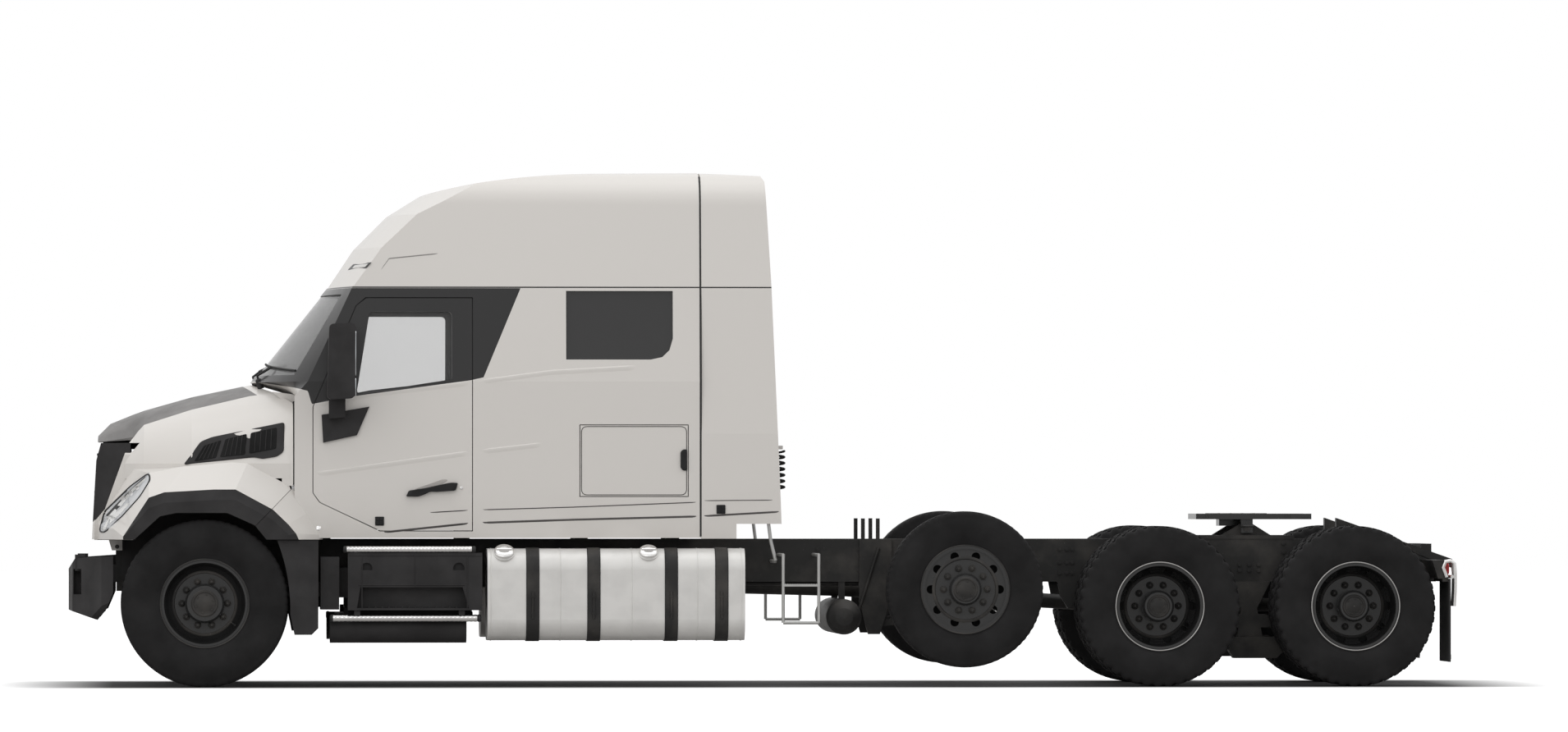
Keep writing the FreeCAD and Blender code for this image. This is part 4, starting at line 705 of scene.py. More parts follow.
def raised(grid: np.ndarray, node: str, side: float, fill: bool = True) -> np.ndarray:
    """Lays a plate's grid on a sub-part's side, following its curve.

    Args:
        grid: (station, height, thickness) in metres.
        node: the sub-part below it.
        side: LEFT or RIGHT.
        fill: whether a point that misses takes the depth of the nearest that landed.

    Returns:
        Points in the truck's frame.
    """
    far = np.stack((grid[..., 0] + AXLE, np.full(grid.shape[:-1], side * START_OUT), grid[..., 1]), axis=-1)
    down = landed(far, node, 1, -side)
    flat = down.reshape(-1, 3)
    missed = np.abs(side * flat[:, 1] - 1.05) > 0.5
    if fill and missed.any() and not missed.all():
        gap = np.linalg.norm(flat[missed][:, None, ::2] - flat[~missed][None, :, ::2], axis=-1)
        flat[missed, 1] = flat[~missed, 1][gap.argmin(axis=1)]
    down = flat.reshape(down.shape)
    down[..., 1] += side * grid[..., 2]
    return down


def on_hood(grid: np.ndarray, side: float) -> np.ndarray:
    """Like raised, on whichever of the hood's shell and its rear collar is further out."""
    shell, collar = raised(grid, "hood_shell", side), raised(grid, "hood_collar", side, False)
    shell_out, collar_out = side * shell[..., 1:2], side * collar[..., 1:2]
    beyond = (collar_out > shell_out) | (shell_out > HOOD_REACH)
    return np.where(beyond & (collar_out < HOOD_REACH), collar, shell)


def level(outline: np.ndarray, depth: float) -> np.ndarray:
    """Returns a closed outline as a line that ends where it starts, at one depth."""
    line = np.concatenate((outline, outline[:1]))
    return np.concatenate((line, np.full((len(line), 1), depth)), axis=1)


def pad(outline: np.ndarray, layers: Pairs, node: str, side: float) -> Skin:
    """Returns a plate with this outline and these layers, laid on a sub-part's side."""
    return Skin(raised(plate(outline, layers), node, side))


def around(points: np.ndarray, centre: Point, count: int, start: float = 0.0) -> np.ndarray:
    """Copies points round a wheel's axle.

    Args:
        points: any grid of points.
        centre: a point on the axle, which runs along Y.
        count: how many copies.
        start: the first copy's turn, in radians.

    Returns:
        The copies, one block each.
    """
    angle = start + np.arange(count) * 2 * np.pi / count
    shape = (count, *([1] * (points.ndim - 1)))
    cos, sin = np.cos(angle).reshape(shape), np.sin(angle).reshape(shape)
    arm = points - np.array(centre)
    x = arm[..., 0][None] * cos + arm[..., 2][None] * sin
    z = arm[..., 2][None] * cos - arm[..., 0][None] * sin
    return np.stack((x, np.broadcast_to(arm[..., 1][None], x.shape), z), axis=-1) + np.array(centre)


def shifted(points: np.ndarray, places: Iterable[Point]) -> np.ndarray:
    """Copies points to each of the places, one block each."""
    moves = np.array(list(places), float)
    return points[None] + moves.reshape(len(moves), *([1] * (points.ndim - 1)), 3)


@dataclass
class Assembly:
    """A group of pieces on one body."""

    body: str = "chassis"

    def build(self) -> None:
        """Makes the pieces. Most groups make the left ones, then the right ones."""
        for side, word in SIDES:
            self.one_side(side, word)

    def one_side(self, side: float, word: str) -> None:
        """Makes the pieces of one side, LEFT or RIGHT; word goes into their names."""
        raise NotImplementedError

    def piece(
        self, name: str, skins: Iterable[Skin], finish: Finish, slot: str | None = None,
        body: str | None = None,
        smooth: float = 35.0, replaces: Sequence[str] = (),
    ) -> bpy.types.Object:
        """Makes one piece of several surfaces.

        Args:
            name: the piece's name.
            skins: its surfaces.
            finish: its material.
            slot: not used.
            body: the body it rides on, or the assembly's own.
            smooth: edges sharper than this many degrees stay sharp.
            replaces: sub-parts it stands for.

        Returns:
            The new object.
        """
        points, faces, start = [], [], 0
        for skin in skins:
            rows, columns = skin.points.shape[:2]
            points.append(skin.points.reshape(-1, 3))
            faces.append(faces_of(rows, columns, skin.closed) + start)
            start += rows * columns
        mesh = bpy.data.meshes.new(name)
        mesh.from_pydata(np.concatenate(points), [], np.concatenate(faces))
        shape = bmesh.new()
        shape.from_mesh(mesh)
        bmesh.ops.remove_doubles(shape, verts=shape.verts, dist=1e-5)
        bmesh.ops.dissolve_degenerate(shape, dist=1e-6, edges=shape.edges)
        bmesh.ops.recalc_face_normals(shape, faces=shape.faces)
        shape.to_mesh(mesh)
        shape.free()
        mesh.materials.append(finish.material())
        obj = bpy.data.objects.new(name, mesh)
        bpy.context.scene.collection.objects.link(obj)
        mesh.polygons.foreach_set("use_smooth", np.ones(len(mesh.polygons), bool))
        mesh.set_sharp_from_angle(angle=math.radians(smooth))
        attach(obj, body or self.body)
        if replaces:
            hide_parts(*replaces)
        log.info("%s: %d faces on %s", name, len(mesh.polygons), body or self.body)
        return obj


# ---- wheels ------------------------------------------------------------------------------


class Tread(Enum):
    """How a tyre's running surface is cut."""

    RIBS = "ribs"
    LUGS = "lugs"


@dataclass
class Wheel(Assembly):
    """One wheel or twin pair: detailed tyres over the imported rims, with nuts and hub trim."""

    name: str = "steer_left"
    tyre_node: str = "steer_left_tyre"
    side: float = LEFT
    tyre_width: float = 0.422
    tread: Tread = Tread.RIBS
    tyre_places: tuple[float, ...] = (0.0,)
    seat: float = 0.286
    nut_face: float = 0.067
    nut_ring: float = 0.152
    cap_face: float = 0.145
    cap_radius: float = 0.118
    domed: bool = False
    nuts: int = 10
    pitches: int = 70

    def __post_init__(self) -> None:
        """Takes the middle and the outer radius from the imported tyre."""
        low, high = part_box(self.tyre_node)
        self.centre = tuple((a + b) / 2 for a, b in zip(low, high))
        self.radius = (high[2] - low[2]) / 2
        self.lip = self.tyre_places[-1] + self.tyre_width * 0.37 + 0.014

    def build(self) -> None:
        """Makes the tyres, then what is bolted on."""
        self.tyres()
        self.nut_circle()
        self.hub_trim()
        self.disc()
        self.rim_edge()

    def spun(self, profile: Pairs, steps: int, out: float = 0.0, lift: float = 0.0) -> Skin:
        """A surface of revolution along the wheel's axle.

        Args:
            profile: radius and distance outwards.
            steps: points round the turn.
            out: how far its zero point is moved outwards from the wheel's middle.
            lift: how far it is moved up.

        Returns:
            The surface.
        """
        x, y, z = self.centre
        return turned(profile, (x, y + self.side * out, z + lift), (0.0, self.side, 0.0), steps)

    def tyres(self) -> None:
        """Each tyre: its section carried round the axle, blocks cut into it turn by turn.

        Radius = section - depth * slot, where slot is 1 in the last two of a pitch's five steps.
        The wall between bead and shoulder is the parabola through 0.80, 0.985 and 0.92 of half
        the width.
        """
        half, outer, seat = self.tyre_width / 2, self.radius, self.seat
        t = np.linspace(0.0, 1.0, 15)
        wall = 0.80 * (1 - t) * (1 - 2 * t) + 0.985 * 4 * t * (1 - t) + 0.92 * t * (2 * t - 1)
        wall_radius = seat + 0.022 + t * (outer - 0.036 - seat - 0.022)
        ridges = np.where((np.arange(15) == 3) | (np.arange(15) == 11), 0.0025, 0.0)
        shoulder, middle = (0.012, 0.011) if self.tread is Tread.LUGS else (0.004, 0.0)
        groove = 0.014
        # one side, from the bead to the tread's middle: width share, radius, slot depth, turn
        side = [(0.70, seat - 0.004, 0, 0), (0.75, seat + 0.002, 0, 0), (0.79, seat + 0.014, 0, 0)]
        side += [(w, r, 0, 0) for w, r in zip(wall, wall_radius + ridges)]
        side += [(0.915, outer - 0.026, shoulder * 0.7, 0), (0.875, outer - 0.009, shoulder, 0),
                 (0.80, outer - 0.001, shoulder, 0), (0.53, outer, shoulder, 0),
                 (0.52, outer - groove, 0, 0), (0.46, outer - groove, 0, 0), (0.45, outer, middle, 2),
                 (0.20, outer, middle, 3), (0.19, outer - groove, 0, 0), (0.13, outer - groove, 0, 0),
                 (0.12, outer, middle, 1)]
        rows = np.array(side + [(-w, r, d, n + 1) for w, r, d, n in side[::-1]], float)
        columns = self.pitches * 5
        step = (np.arange(columns)[None, :] + rows[:, 3:4].astype(int)) % 5
        radius = rows[:, 1:2] - rows[:, 2:3] * (step >= 3)
        angle = np.linspace(0.0, 2 * np.pi, columns, endpoint=False)[None, :]
        x, y, z = self.centre
        skins = []
        for place in self.tyre_places:
            along = y + self.side * place + self.side * half * rows[:, 0:1] + 0 * angle
            skins.append(Skin(np.stack((x + radius * np.sin(angle), along, z + radius * np.cos(angle)), -1)))
        self.piece(self.name + "_rubber", skins, TYRE, replaces=(self.tyre_node,), smooth=50.0)

    def nut_circle(self) -> None:
        """Hexagon nuts with washers and stud ends round the hub."""
        items = (([(0.0, 0.0), (0.025, 0.0), (0.025, 0.006), (0.0, 0.006)], 20),
                 ([(0.0, 0.005), (0.0215, 0.005), (0.0215, 0.026), (0.017, 0.031), (0.0, 0.031)], 6),
                 ([(0.0, 0.030), (0.0125, 0.030), (0.0125, 0.040), (0.008, 0.046), (0.0, 0.047)], 14))
        skins = []
        for profile, steps in items:
            item = self.spun(profile, steps, self.nut_face, self.nut_ring)
            skins += item.copies(around(item.points, self.centre, self.nuts, 0.31))
        self.piece(self.name + "_nuts", skins, NUT_BLACK)

    def hub_trim(self) -> None:
        """A stepped cap on the hub's end, with its ring of small screws."""
        steps = ((0.0, 0.004), (0.42, 0.004), (0.46, 0.0015), (0.6, 0.0015), (0.64, 0.006), (0.72, 0.006),
                 (0.76, 0.001), (0.84, -0.002))
        cap = self.spun([(self.cap_radius * share, rise) for share, rise in steps], 56, self.cap_face)
        screw = self.spun([(0.0, 0.0), (0.0075, 0.0), (0.0075, 0.005), (0.0, 0.006)], 6, self.cap_face,
                          self.cap_radius * 0.53)
        self.piece(self.name + "_hub_cap", [cap, *screw.copies(around(screw.points, self.centre, 6, 0.2))],
                   NUT_BLACK)

    def disc(self) -> None:
        """A step pressed round the disc, and painted shade inside the rim.

        The painted shade lies in front of a dished disc, or behind the hand holes of a domed one.
        """
        seat, face, lip = self.seat, self.nut_face, self.lip
        step = [(seat * 0.70, face + 0.001), (seat * 0.72, face + 0.007), (seat * 0.75, face + 0.007),
                (seat * 0.78, face + 0.001)]
        dark = [(seat * 0.77, face + 0.003), (seat * 0.87, face + 0.004), (seat * 0.93, (face + lip) / 2),
                (seat * 0.965, lip - 0.006), (seat * 1.012, lip + 0.001)]
        if self.domed:
            dark = [(seat * 0.66, face - 0.055), (seat * 0.93, face - 0.055)]
        self.piece(self.name + "_disc_step", [self.spun(step, 72)], NUT_BLACK)
        # painted shade inside the rim
        self.piece(self.name + "_well", [self.spun(dark, 72)], SHADE_BLACK, "wheel_black")

    def rim_edge(self) -> None:
        """The edge of the outer rim, with a painted highlight in bright metal on twin wheels, and its valve.
        """
        ring = [(self.seat + 0.0105 + 0.0045 * math.cos(a), self.lip - 0.002 + 0.0045 * math.sin(a))
                for a in np.linspace(0.0, 2 * np.pi, 9)]
        # twin wheels get a painted highlight on the rim's edge; single wheels stay black
        finish = RIM_HIGHLIGHT if self.tread is Tread.LUGS else NUT_BLACK
        self.piece(self.name + "_rim_edge", [self.spun(ring, 96)], finish)
        x, y, z = self.centre
        foot = np.array((x + self.seat * 0.62, y + self.side * (self.nut_face + 0.002), z - self.seat * 0.45))
        stem = np.stack((foot, foot + (0.012, self.side * 0.03, -0.008),
                         foot + (0.03, self.side * 0.05, -0.02)))
        self.piece(self.name + "_valve", [tube(stem, 0.0045, 8, (1.0, 0.0, 1.0))], BRIGHT)


# ---- cab ---------------------------------------------------------------------------------


def marker(owner: Assembly, name: str, place: tuple[float, float], node: str, side: float) -> None:
    """A small square side lamp with a cross groove, as four lenses on a dark base.

    Args:
        owner: the assembly it belongs to.
        name: the piece's name.
        place: its middle, station and height in metres.
        node: the sub-part it sits on.
        side: LEFT or RIGHT.
    """
    square = np.array(((-1, -1), (1, -1), (1, 1), (-1, 1)), float)
    skins = [pad(rounded(np.array(place) + 0.030 * square, 0.006), soft_edge(0.008, 0.002), node, side)]
    for corner in square:
        lens = rounded(np.array(place) + 0.0135 * corner + 0.011 * square, 0.003)
        skins.append(pad(lens, soft_edge(0.013, 0.003), node, side))
    owner.piece(name, skins, GLOSS_BLACK)


@dataclass
class DoorTrim(Assembly):
    """Handle over a bowl of painted shade, lock, marker and mirror glass of one door."""

    side: float = LEFT
    word: str = "left"

    def build(self) -> None:
        """Makes the door's small pieces."""
        side, word = self.side, self.word
        door = self.body = f"door_{word}"
        grip = rounded(mm(1347, 1278, 1366, 1318, 1466, 1333, 1648, 1372, 1697, 1370, 1683, 1318, 1554, 1308,
                          1513, 1310, 1470, 1290, 1430, 1276), 0.012, 5)
        self.piece(f"handle_{word}", [pad(grip, soft_edge(0.03, 0.012), door, side)], GLOSS_BLACK)
        # painted shade: the bowl behind the handle is a darker paint tone
        bowl = rounded(mm(1395, 1325, 1470, 1352, 1600, 1398, 1640, 1392, 1600, 1362, 1480, 1325), 0.02, 5)
        self.piece(f"handle_bowl_shade_{word}", [pad(bowl, [(0.0, -0.001), (0.012, 0.0015)], door, side)],
                   BOWL_SHADE)
        lock = turned([(0.0, 0.0), (0.011, 0.0), (0.011, 0.004), (0.004, 0.005), (0.0, 0.003)],
                      (AXLE + 1.72, side * 1.06, 1.335), (0.0, side, 0.0), 20)
        self.piece(f"door_lock_{word}", [lock], BRIGHT)
        marker(self, f"marker_door_{word}", (1.171, 1.113), door, side)
        low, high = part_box(f"mirror_{word}")
        inner = min(abs(low[1]), abs(high[1])) + 0.118
        for label, tall, radius, foot in (("main", 0.3, 0.025, 2.085), ("wide", 0.12, 0.02, 1.95)):
            grid = plate(panel(0.0, 0.236, 0.0, tall, radius), soft_edge(0.006, 0.003))
            points = np.stack((grid[..., 2] + AXLE + 1.0035, side * (inner + grid[..., 0]),
                               foot + grid[..., 1]), -1)
            self.piece(f"mirror_glass_{label}_{word}", [Skin(points)], MIRROR)


VENT_FRAME = (-144, 1491, -28, 1648, 50, 1679, 535, 1778, 530, 1580, 485, 1546, 386, 1530, 331, 1541)
VENT_PANES = ((-72, 1514, -4, 1622, 112, 1658, 76, 1538), (100, 1542, 138, 1664, 282, 1700, 270, 1560),
              (296, 1566, 308, 1706, 484, 1742, 478, 1600))
LAMP_EDGE = (-708, 1042, -676, 1172, -500, 1346, -374, 1436, -365, 1387, -432, 1278, -551, 1146, -672, 1036)
LAMP_STRIPS = ((-690, 1052, -655, 1142, -600, 1200, -590, 1180, -636, 1128, -668, 1050),
               (-640, 1092, -560, 1166, -500, 1232, -520, 1236, -580, 1190, -636, 1136),
               (-590, 1216, -490, 1330, -390, 1412, -400, 1388, -480, 1310, -560, 1212))
LAMP_BLADE = (-668, 1150, -600, 1222, -470, 1352, -392, 1420, -440, 1350, -540, 1240, -590, 1190, -640, 1140)
# the lamp's round units: station, height, radius
LAMP_UNITS = ((-0.545, 1.262, 0.020), (-0.500, 1.300, 0.018), (-0.455, 1.338, 0.015))


@dataclass
class HoodTrim(Assembly):
    """Side vents, lamp bezels and lamp units on the hood."""

    body: str = "hood"

    def one_side(self, side: float, word: str) -> None:
        """Makes a vent and a lamp."""
        self.vent(side, word)
        self.lamp(side, word)

    def vent(self, side: float, word: str) -> None:
        """A dark frame on the hood's flank with three slanted openings behind fine bars, the openings being
        pads of painted shade.
        """
        line = rounded(mm(*VENT_FRAME), 0.02, 5)
        self.piece(f"vent_frame_{word}", [Skin(on_hood(plate(line, soft_edge(0.009, 0.005)), side))],
                   TRIM_GREY)
        skins, bars = [], []
        for pane in VENT_PANES:
            shape = plate(rounded(mm(*pane), 0.012, 5), [(0.0, 0.008), (0.003, 0.0140), (0.006, 0.0135)])
            skins.append(Skin(on_hood(shape, side)))
            corners = mm(*pane)
            for share in (0.2, 0.4, 0.6, 0.8):
                foot = corners[0] + (corners[3] - corners[0]) * share
                head = corners[1] + (corners[2] - corners[1]) * share
                bar = foot + (head - foot) * np.linspace(0.04, 0.96, 9)[:, None]
                grid = np.concatenate((bar, np.full((9, 1), 0.0145)), axis=1)
                bars.append(tube(on_hood(grid, side), 0.0028, 6, ACROSS))
        # the openings are dark pads of painted shade
        self.piece(f"vent_openings_{word}", skins, SHADE_BLACK)
        self.piece(f"vent_bars_{word}", bars, TRIM_GREY)

    def lamp(self, side: float, word: str) -> None:
        """Dark bezel round the headlamp; strips, three round units and a blade on its cover."""
        node = "headlights"
        edge = raised(level(rounded(mm(*LAMP_EDGE), 0.03, 7), -0.001), node, side)
        self.piece(f"lamp_bezel_{word}", [tube(edge, 0.006, 8, ACROSS)], GLOSS_BLACK)
        layers = [(0.0, 0.0), (0.002, 0.004), (0.006, 0.005)]
        self.piece(f"lamp_strips_{word}",
                   [pad(rounded(mm(*strip), 0.008, 4), layers, node, side) for strip in LAMP_STRIPS],
                   STRIP_WHITE)
        turn = np.linspace(0, 2 * np.pi, 28, endpoint=False)
        units = []
        for x, z, size in LAMP_UNITS:
            circle = np.stack((x + size * np.cos(turn), z + size * np.sin(turn)), axis=-1)
            units.append(pad(circle, [(0.0, 0.0), (0.003, 0.005), (size * 0.5, 0.008)], node, side))
        self.piece(f"lamp_units_{word}", units, BRIGHT, "lamp_glass")
        blade = pad(rounded(mm(*LAMP_BLADE), 0.01, 5), [(0.0, 0.0), (0.003, 0.002), (0.008, 0.003)],
                    node, side)
        self.piece(f"lamp_blade_{word}", [blade], TRIM_GREY)


# the hood's sections: station, top in the middle, cap's edge (across, up), half width
HOOD_SECTIONS = ((-0.090, 1.953, 0.520, 1.864, 0.880), (0.300, 2.035, 0.590, 1.955, 1.000),
                 (0.640, 2.080, 0.630, 2.000, 1.050))
HOOD_SHOULDER = 1.500
HINGE = (-0.590, 0.940)


def arc_through(first: np.ndarray, middle: np.ndarray, last: np.ndarray, share: np.ndarray) -> np.ndarray:
    """Points on the circle through three points, at shares of the turn from the first to the last.

    Args:
        first: start points.
        middle: points it passes.
        last: end points.
        share: 0 to 1 for each.

    Returns:
        The points, (across, up).
    """
    b, c = middle - first, last - first
    cross = 2 * (b[..., 0] * c[..., 1] - b[..., 1] * c[..., 0])
    bb, cc = (b**2).sum(-1), (c**2).sum(-1)
    hub = np.stack((c[..., 1] * bb - b[..., 1] * cc, b[..., 0] * cc - c[..., 0] * bb), -1) / cross[..., None]
    start = np.arctan2(-hub[..., 1], -hub[..., 0])
    turn = np.arctan2(c[..., 1] - hub[..., 1], c[..., 0] - hub[..., 0]) - start
    turn = (turn + np.pi) % (2 * np.pi) - np.pi
    angle = start + turn * share
    size = np.linalg.norm(hub, axis=-1)
    return first + hub + size[..., None] * np.stack((np.cos(angle), np.sin(angle)), -1)


def hood_skin(x: np.ndarray, share: np.ndarray) -> np.ndarray:
    """The hood's outer surface on the right: from its flank (share 0) to its middle (share 2).

    Args:
        x: stations.
        share: place round the section.

    Returns:
        (across, up) of each.
    """
    table = np.array(HOOD_SECTIONS)
    top, cap, edge, half = (np.interp(x, table[:, 0], table[:, column]) for column in range(1, 5))
    side_y = (half + cap) / 2 + 0.14 * (half - cap)
    side_z = (edge + HOOD_SHOULDER) / 2 + 0.1 * (edge - HOOD_SHOULDER)
    foot = np.stack((half, np.full_like(half, HOOD_SHOULDER)), -1)
    corner = np.stack((cap, edge), -1)
    flank = arc_through(foot, np.stack((side_y, side_z), -1), corner, np.clip(share, 0, 1))
    crown = arc_through(corner, np.stack((0 * top, top), -1), corner * (-1, 1), np.clip(share - 1, 0, 1) / 2)
    return np.where((share <= 1)[..., None], flank, crown)


@dataclass
class Collar(Assembly):
    """The hood's rear collar up to the cowl, with the seal, cowl sides and inner shields."""

    rear: float = 0.592
    cowl: tuple[float, float] = (1.950, 2.050)
    cowl_radius: float = 1.6617
    hood_radius: float = 1.8628
    rows: int = 14

    def cab_front(self, y: np.ndarray, z: np.ndarray) -> np.ndarray:
        """The cab's front: x = upright line up to the waist, then straight to the cowl's arc."""
        upright_x = 0.640 - 0.040 * (y / 1.06) ** 2
        foot = 0.307 + self.cowl_radius - np.sqrt(self.cowl_radius**2 - y**2)
        share = np.clip((z - self.cowl[0]) / (self.cowl[1] - self.cowl[0]), 0, 1)
        return upright_x + (foot - upright_x) * share

    def stations(self, share: np.ndarray) -> np.ndarray:
        """Stations of the collar's grid, from inside the hood's rear edge to just ahead of the cab.

        The height above the hinge sets how far the tilting edge has to stay ahead of the cab, and
        the height depends on the station, so it is worked out four times over.
        """
        v = np.linspace(0, 1, self.rows)[:, None]
        x = np.full(share.shape, 0.5)
        for _ in range(4):
            across, up = np.moveaxis(hood_skin(x, share), -1, 0)
            start = 0.255 + self.hood_radius - np.sqrt(self.hood_radius**2 - across**2) - 0.05
            rise = (up - HINGE[1]) / (x - HINGE[0]) * 0.9
            limits = [self.cab_front(across, np.maximum(up, height)) - 0.014
                      + np.maximum(height - up, 0) * rise
                      for height in (1.950, 1.975, 2.0, 2.025, 2.050)]
            stop = np.minimum(self.rear, np.min(limits, axis=0))
            x = start + (np.maximum(stop, start + 0.01) - start) * v
        return x

    def build(self) -> None:
        """Makes the collar in one sheet from flank to flank, and what lies inside it."""
        half = np.concatenate((np.linspace(0, 1, 28), np.linspace(1.06, 2, 14)))
        share = np.broadcast_to(half, (self.rows, len(half)))
        x = self.stations(share)
        across, up = np.moveaxis(hood_skin(x, share), -1, 0)
        sheet = []
        for drop in (0.0016, 0.012):
            lower = np.stack((x[:, 0], across[:, 0] - drop, np.full(self.rows, 1.35)), -1)[:, None]
            inward = np.stack((x, across - drop * np.clip(1.4 - share, 0, 1),
                               up - drop * np.clip(share + 0.2, 0, 1)), -1)
            side = np.concatenate((lower, inward), axis=1)
            sheet.append(np.concatenate((side, side[:, -2::-1] * (1, -1, 1)), axis=1))
        ring = np.concatenate((sheet[0], sheet[1][:, ::-1]), axis=1)
        middle = (sheet[0] + sheet[1]) / 2
        ends = np.concatenate((middle, middle[:, ::-1]), axis=1)
        points = np.concatenate((ends[:1], ring, ends[-1:])) + (AXLE, 0.0, 0.0)
        self.piece("hood_collar", [Skin(points)], BODY_WHITE, body="hood", smooth=50.0)
        self.wall("nose_brace", mm(-690, 1600, -690, 1660, -600, 1730, -440, 1790, -420, 1600), 0.01, 0.0,
                  TRIM_GREY, "hood")
        super().build()

    def one_side(self, side: float, word: str) -> None:
        """Makes a seal, a cowl side and an inner shield."""
        seal = hood_skin(np.full(24, 0.592), np.linspace(0.0, 0.8, 24))
        path = np.stack((np.full(24, AXLE + 0.603), side * (seal[:, 0] - 0.045), seal[:, 1] - 0.02), -1)
        path = np.concatenate((path[:1] - (0.0, 0.0, 0.12), path))
        self.piece(f"hood_seal_{word}", [tube(path, 0.014, 10, BACK)], RUBBER)
        self.wall(f"cowl_side_{word}", mm(450, 1985, 610, 1965, 640, 1860, 592, 1840, 540, 1915), 0.01,
                  side * 0.70, BODY_WHITE)
        shield = mm(-560, 730, -560, 1100, -300, 1440, 580, 1520, 600, 1000, 500, 730)
        self.wall(f"inner_shield_{word}", shield, 0.05, side * 0.481, TRIM_GREY)

    def wall(
        self, name: str, corners: np.ndarray, radius: float, y: float, finish: Finish, body: str = "chassis"
    ) -> None:
        """A flat upright sheet.

        Args:
            name: the piece's name.
            corners: its outline's (station, height) corners.
            radius: how far from a corner its curve begins.
            y: its place across.
            finish: its material.
            body: the body it rides on.
        """
        self.piece(name, [upright(plate(rounded(corners, radius), SHEET), y)], finish, body=body)


@dataclass
class CabTrim(Assembly):
    """Small pieces on the cab, sleeper and roof."""

    def build(self) -> None:
        """Makes the wipers, then both sides."""
        self.wipers()
        super().build()

    def one_side(self, side: float, word: str) -> None:
        """Makes the seam, the lamps, the bolt and what is on the luggage door."""
        self.rear_seam(side, word)
        marker(self, f"marker_rear_{word}", (3.463, 1.192), "side_extenders", side)
        lamp = rounded(mm(962, 2808, 998, 2846, 1118, 2852, 1084, 2812), 0.006)
        self.piece(f"roof_lamp_{word}", [pad(lamp, soft_edge(0.010, 0.004), "roof_fairing", side)],
                   GLOSS_BLACK)
        lens = rounded(mm(990, 2816, 1008, 2838, 1096, 2843, 1074, 2820), 0.004)
        self.piece(f"roof_lens_{word}", [pad(lens, soft_edge(0.018, 0.003), "roof_fairing", side)], PALE_LENS)
        bolt = turned([(0.0, 0.0), (0.017, 0.0), (0.017, 0.004), (0.008, 0.009), (0.0, 0.010)],
                      (AXLE + 0.760, side * 1.150, 1.066), (-0.15, side, 0.45), 20)
        self.piece(f"quarter_bolt_{word}", [bolt], BRIGHT)
        door = f"luggage_door_{word}"
        grip = rounded(mm(3191, 1470, 3191, 1578, 3208, 1595, 3236, 1595, 3236, 1452, 3208, 1452), 0.01)
        self.piece(f"luggage_handle_{word}", [pad(grip, soft_edge(0.016, 0.006), door, side)], GLOSS_BLACK,
                   body=door)
        seal = level(rounded(mm(2526, 1289, 3232, 1289, 3232, 1748, 2526, 1748), 0.04, 8), -0.0005)
        self.piece(f"luggage_seal_{word}", [tube(raised(seal, door, side), 0.0028, 6, ACROSS)], TRIM_GREY,
                   body=door)

    def rear_seam(self, side: float, word: str) -> None:
        """Dark rubber in the joint between the sleeper and the extender behind it."""
        paths = []
        for node, low, high, count in (("sleeper_shell", 1.01, 2.68, 40), ("roof_fairing", 2.70, 3.43, 24)):
            line = np.stack((np.full(count, 3.316), np.linspace(low, high, count), np.zeros(count)), -1)
            paths.append(raised(line, node, side))
        seam = tube(np.concatenate(paths) + (0.011, -side * 0.004, 0.0), 0.008, 8, BACK)
        self.piece(f"rear_seam_{word}", [seam], RUBBER)

    def wipers(self) -> None:
        """Two wipers: blades that follow the glass, arms from the cowl, pivots."""
        skins = []
        for inner, outer, pivot in ((-0.86, -0.14, -0.40), (-0.05, 0.70, 0.28)):
            y = np.linspace(inner, outer, 24)
            z = 2.125 + 0.05 * (y - inner) / (outer - inner)
            start = np.stack((np.full(24, AXLE - 0.8), y, z), axis=-1)
            blade = landed(start, "fixed_glass", 0, 1.0) - (0.014, 0.0, 0.0)
            skins.append(tube(blade, 0.008, 8))
            start = np.array([[AXLE - 0.8, pivot, 2.105]])
            foot = landed(start, "fixed_glass", 0, 1.0)[0] + (-0.05, 0.0, -0.05)
            top = blade[12] - (0.014, 0.0, 0.0)
            bow = np.stack((foot, foot + (-0.012, 0.02, 0.04), (foot + top) / 2 + (-0.02, 0.0, 0.012), top))
            skins.append(tube(bow, 0.009, 8, (0.3, 0.1, 1.0)))
            skins.append(turned([(0.0, -0.05), (0.022, -0.05), (0.022, 0.012), (0.014, 0.02), (0.0, 0.02)],
                                tuple(foot), (-0.3, 0.0, 1.0), 16))
        self.piece("wipers", skins, RUBBER)


@dataclass
class Swage:
    """One pressed line: its corners and the sub-parts it crosses."""

    corners: np.ndarray
    nodes: tuple[str, ...]
    width: float = 0.030
    height: float = 0.0045
    finish: Finish = BODY_WHITE


CAB_SIDE = ("door", "sleeper_shell")
# the first two lines are raised in body paint; the grey ones are thin strips of painted shade along grooves
SWAGES = (
    Swage(mm(716, 1898, 1102, 1975, 1791, 2053, 2320, 2124, 2893, 2157), CAB_SIDE),
    Swage(mm(595, 1419, 1786, 1584, 2265, 1639), CAB_SIDE),
    Swage(mm(1500, 1172, 1789, 1189, 2469, 1209, 3309, 1242), CAB_SIDE, 0.006, 0.003, GROOVE_SHADE),
    Swage(mm(1194, 1042, 1789, 1104, 2469, 1127, 3309, 1149), CAB_SIDE, 0.012, 0.004, GROOVE_SHADE),
    Swage(mm(3334, 1252, 3820, 1256), ("side_extenders",), 0.005, 0.003, GROOVE_SHADE),
    Swage(mm(3334, 1150, 3860, 1180), ("side_extenders",), 0.011, 0.004, GROOVE_SHADE),
    Swage(mm(1172, 2790, 1235, 2880, 1571, 2914), ("roof_fairing",), 0.007, 0.003, GROOVE_SHADE_SOFT),
)


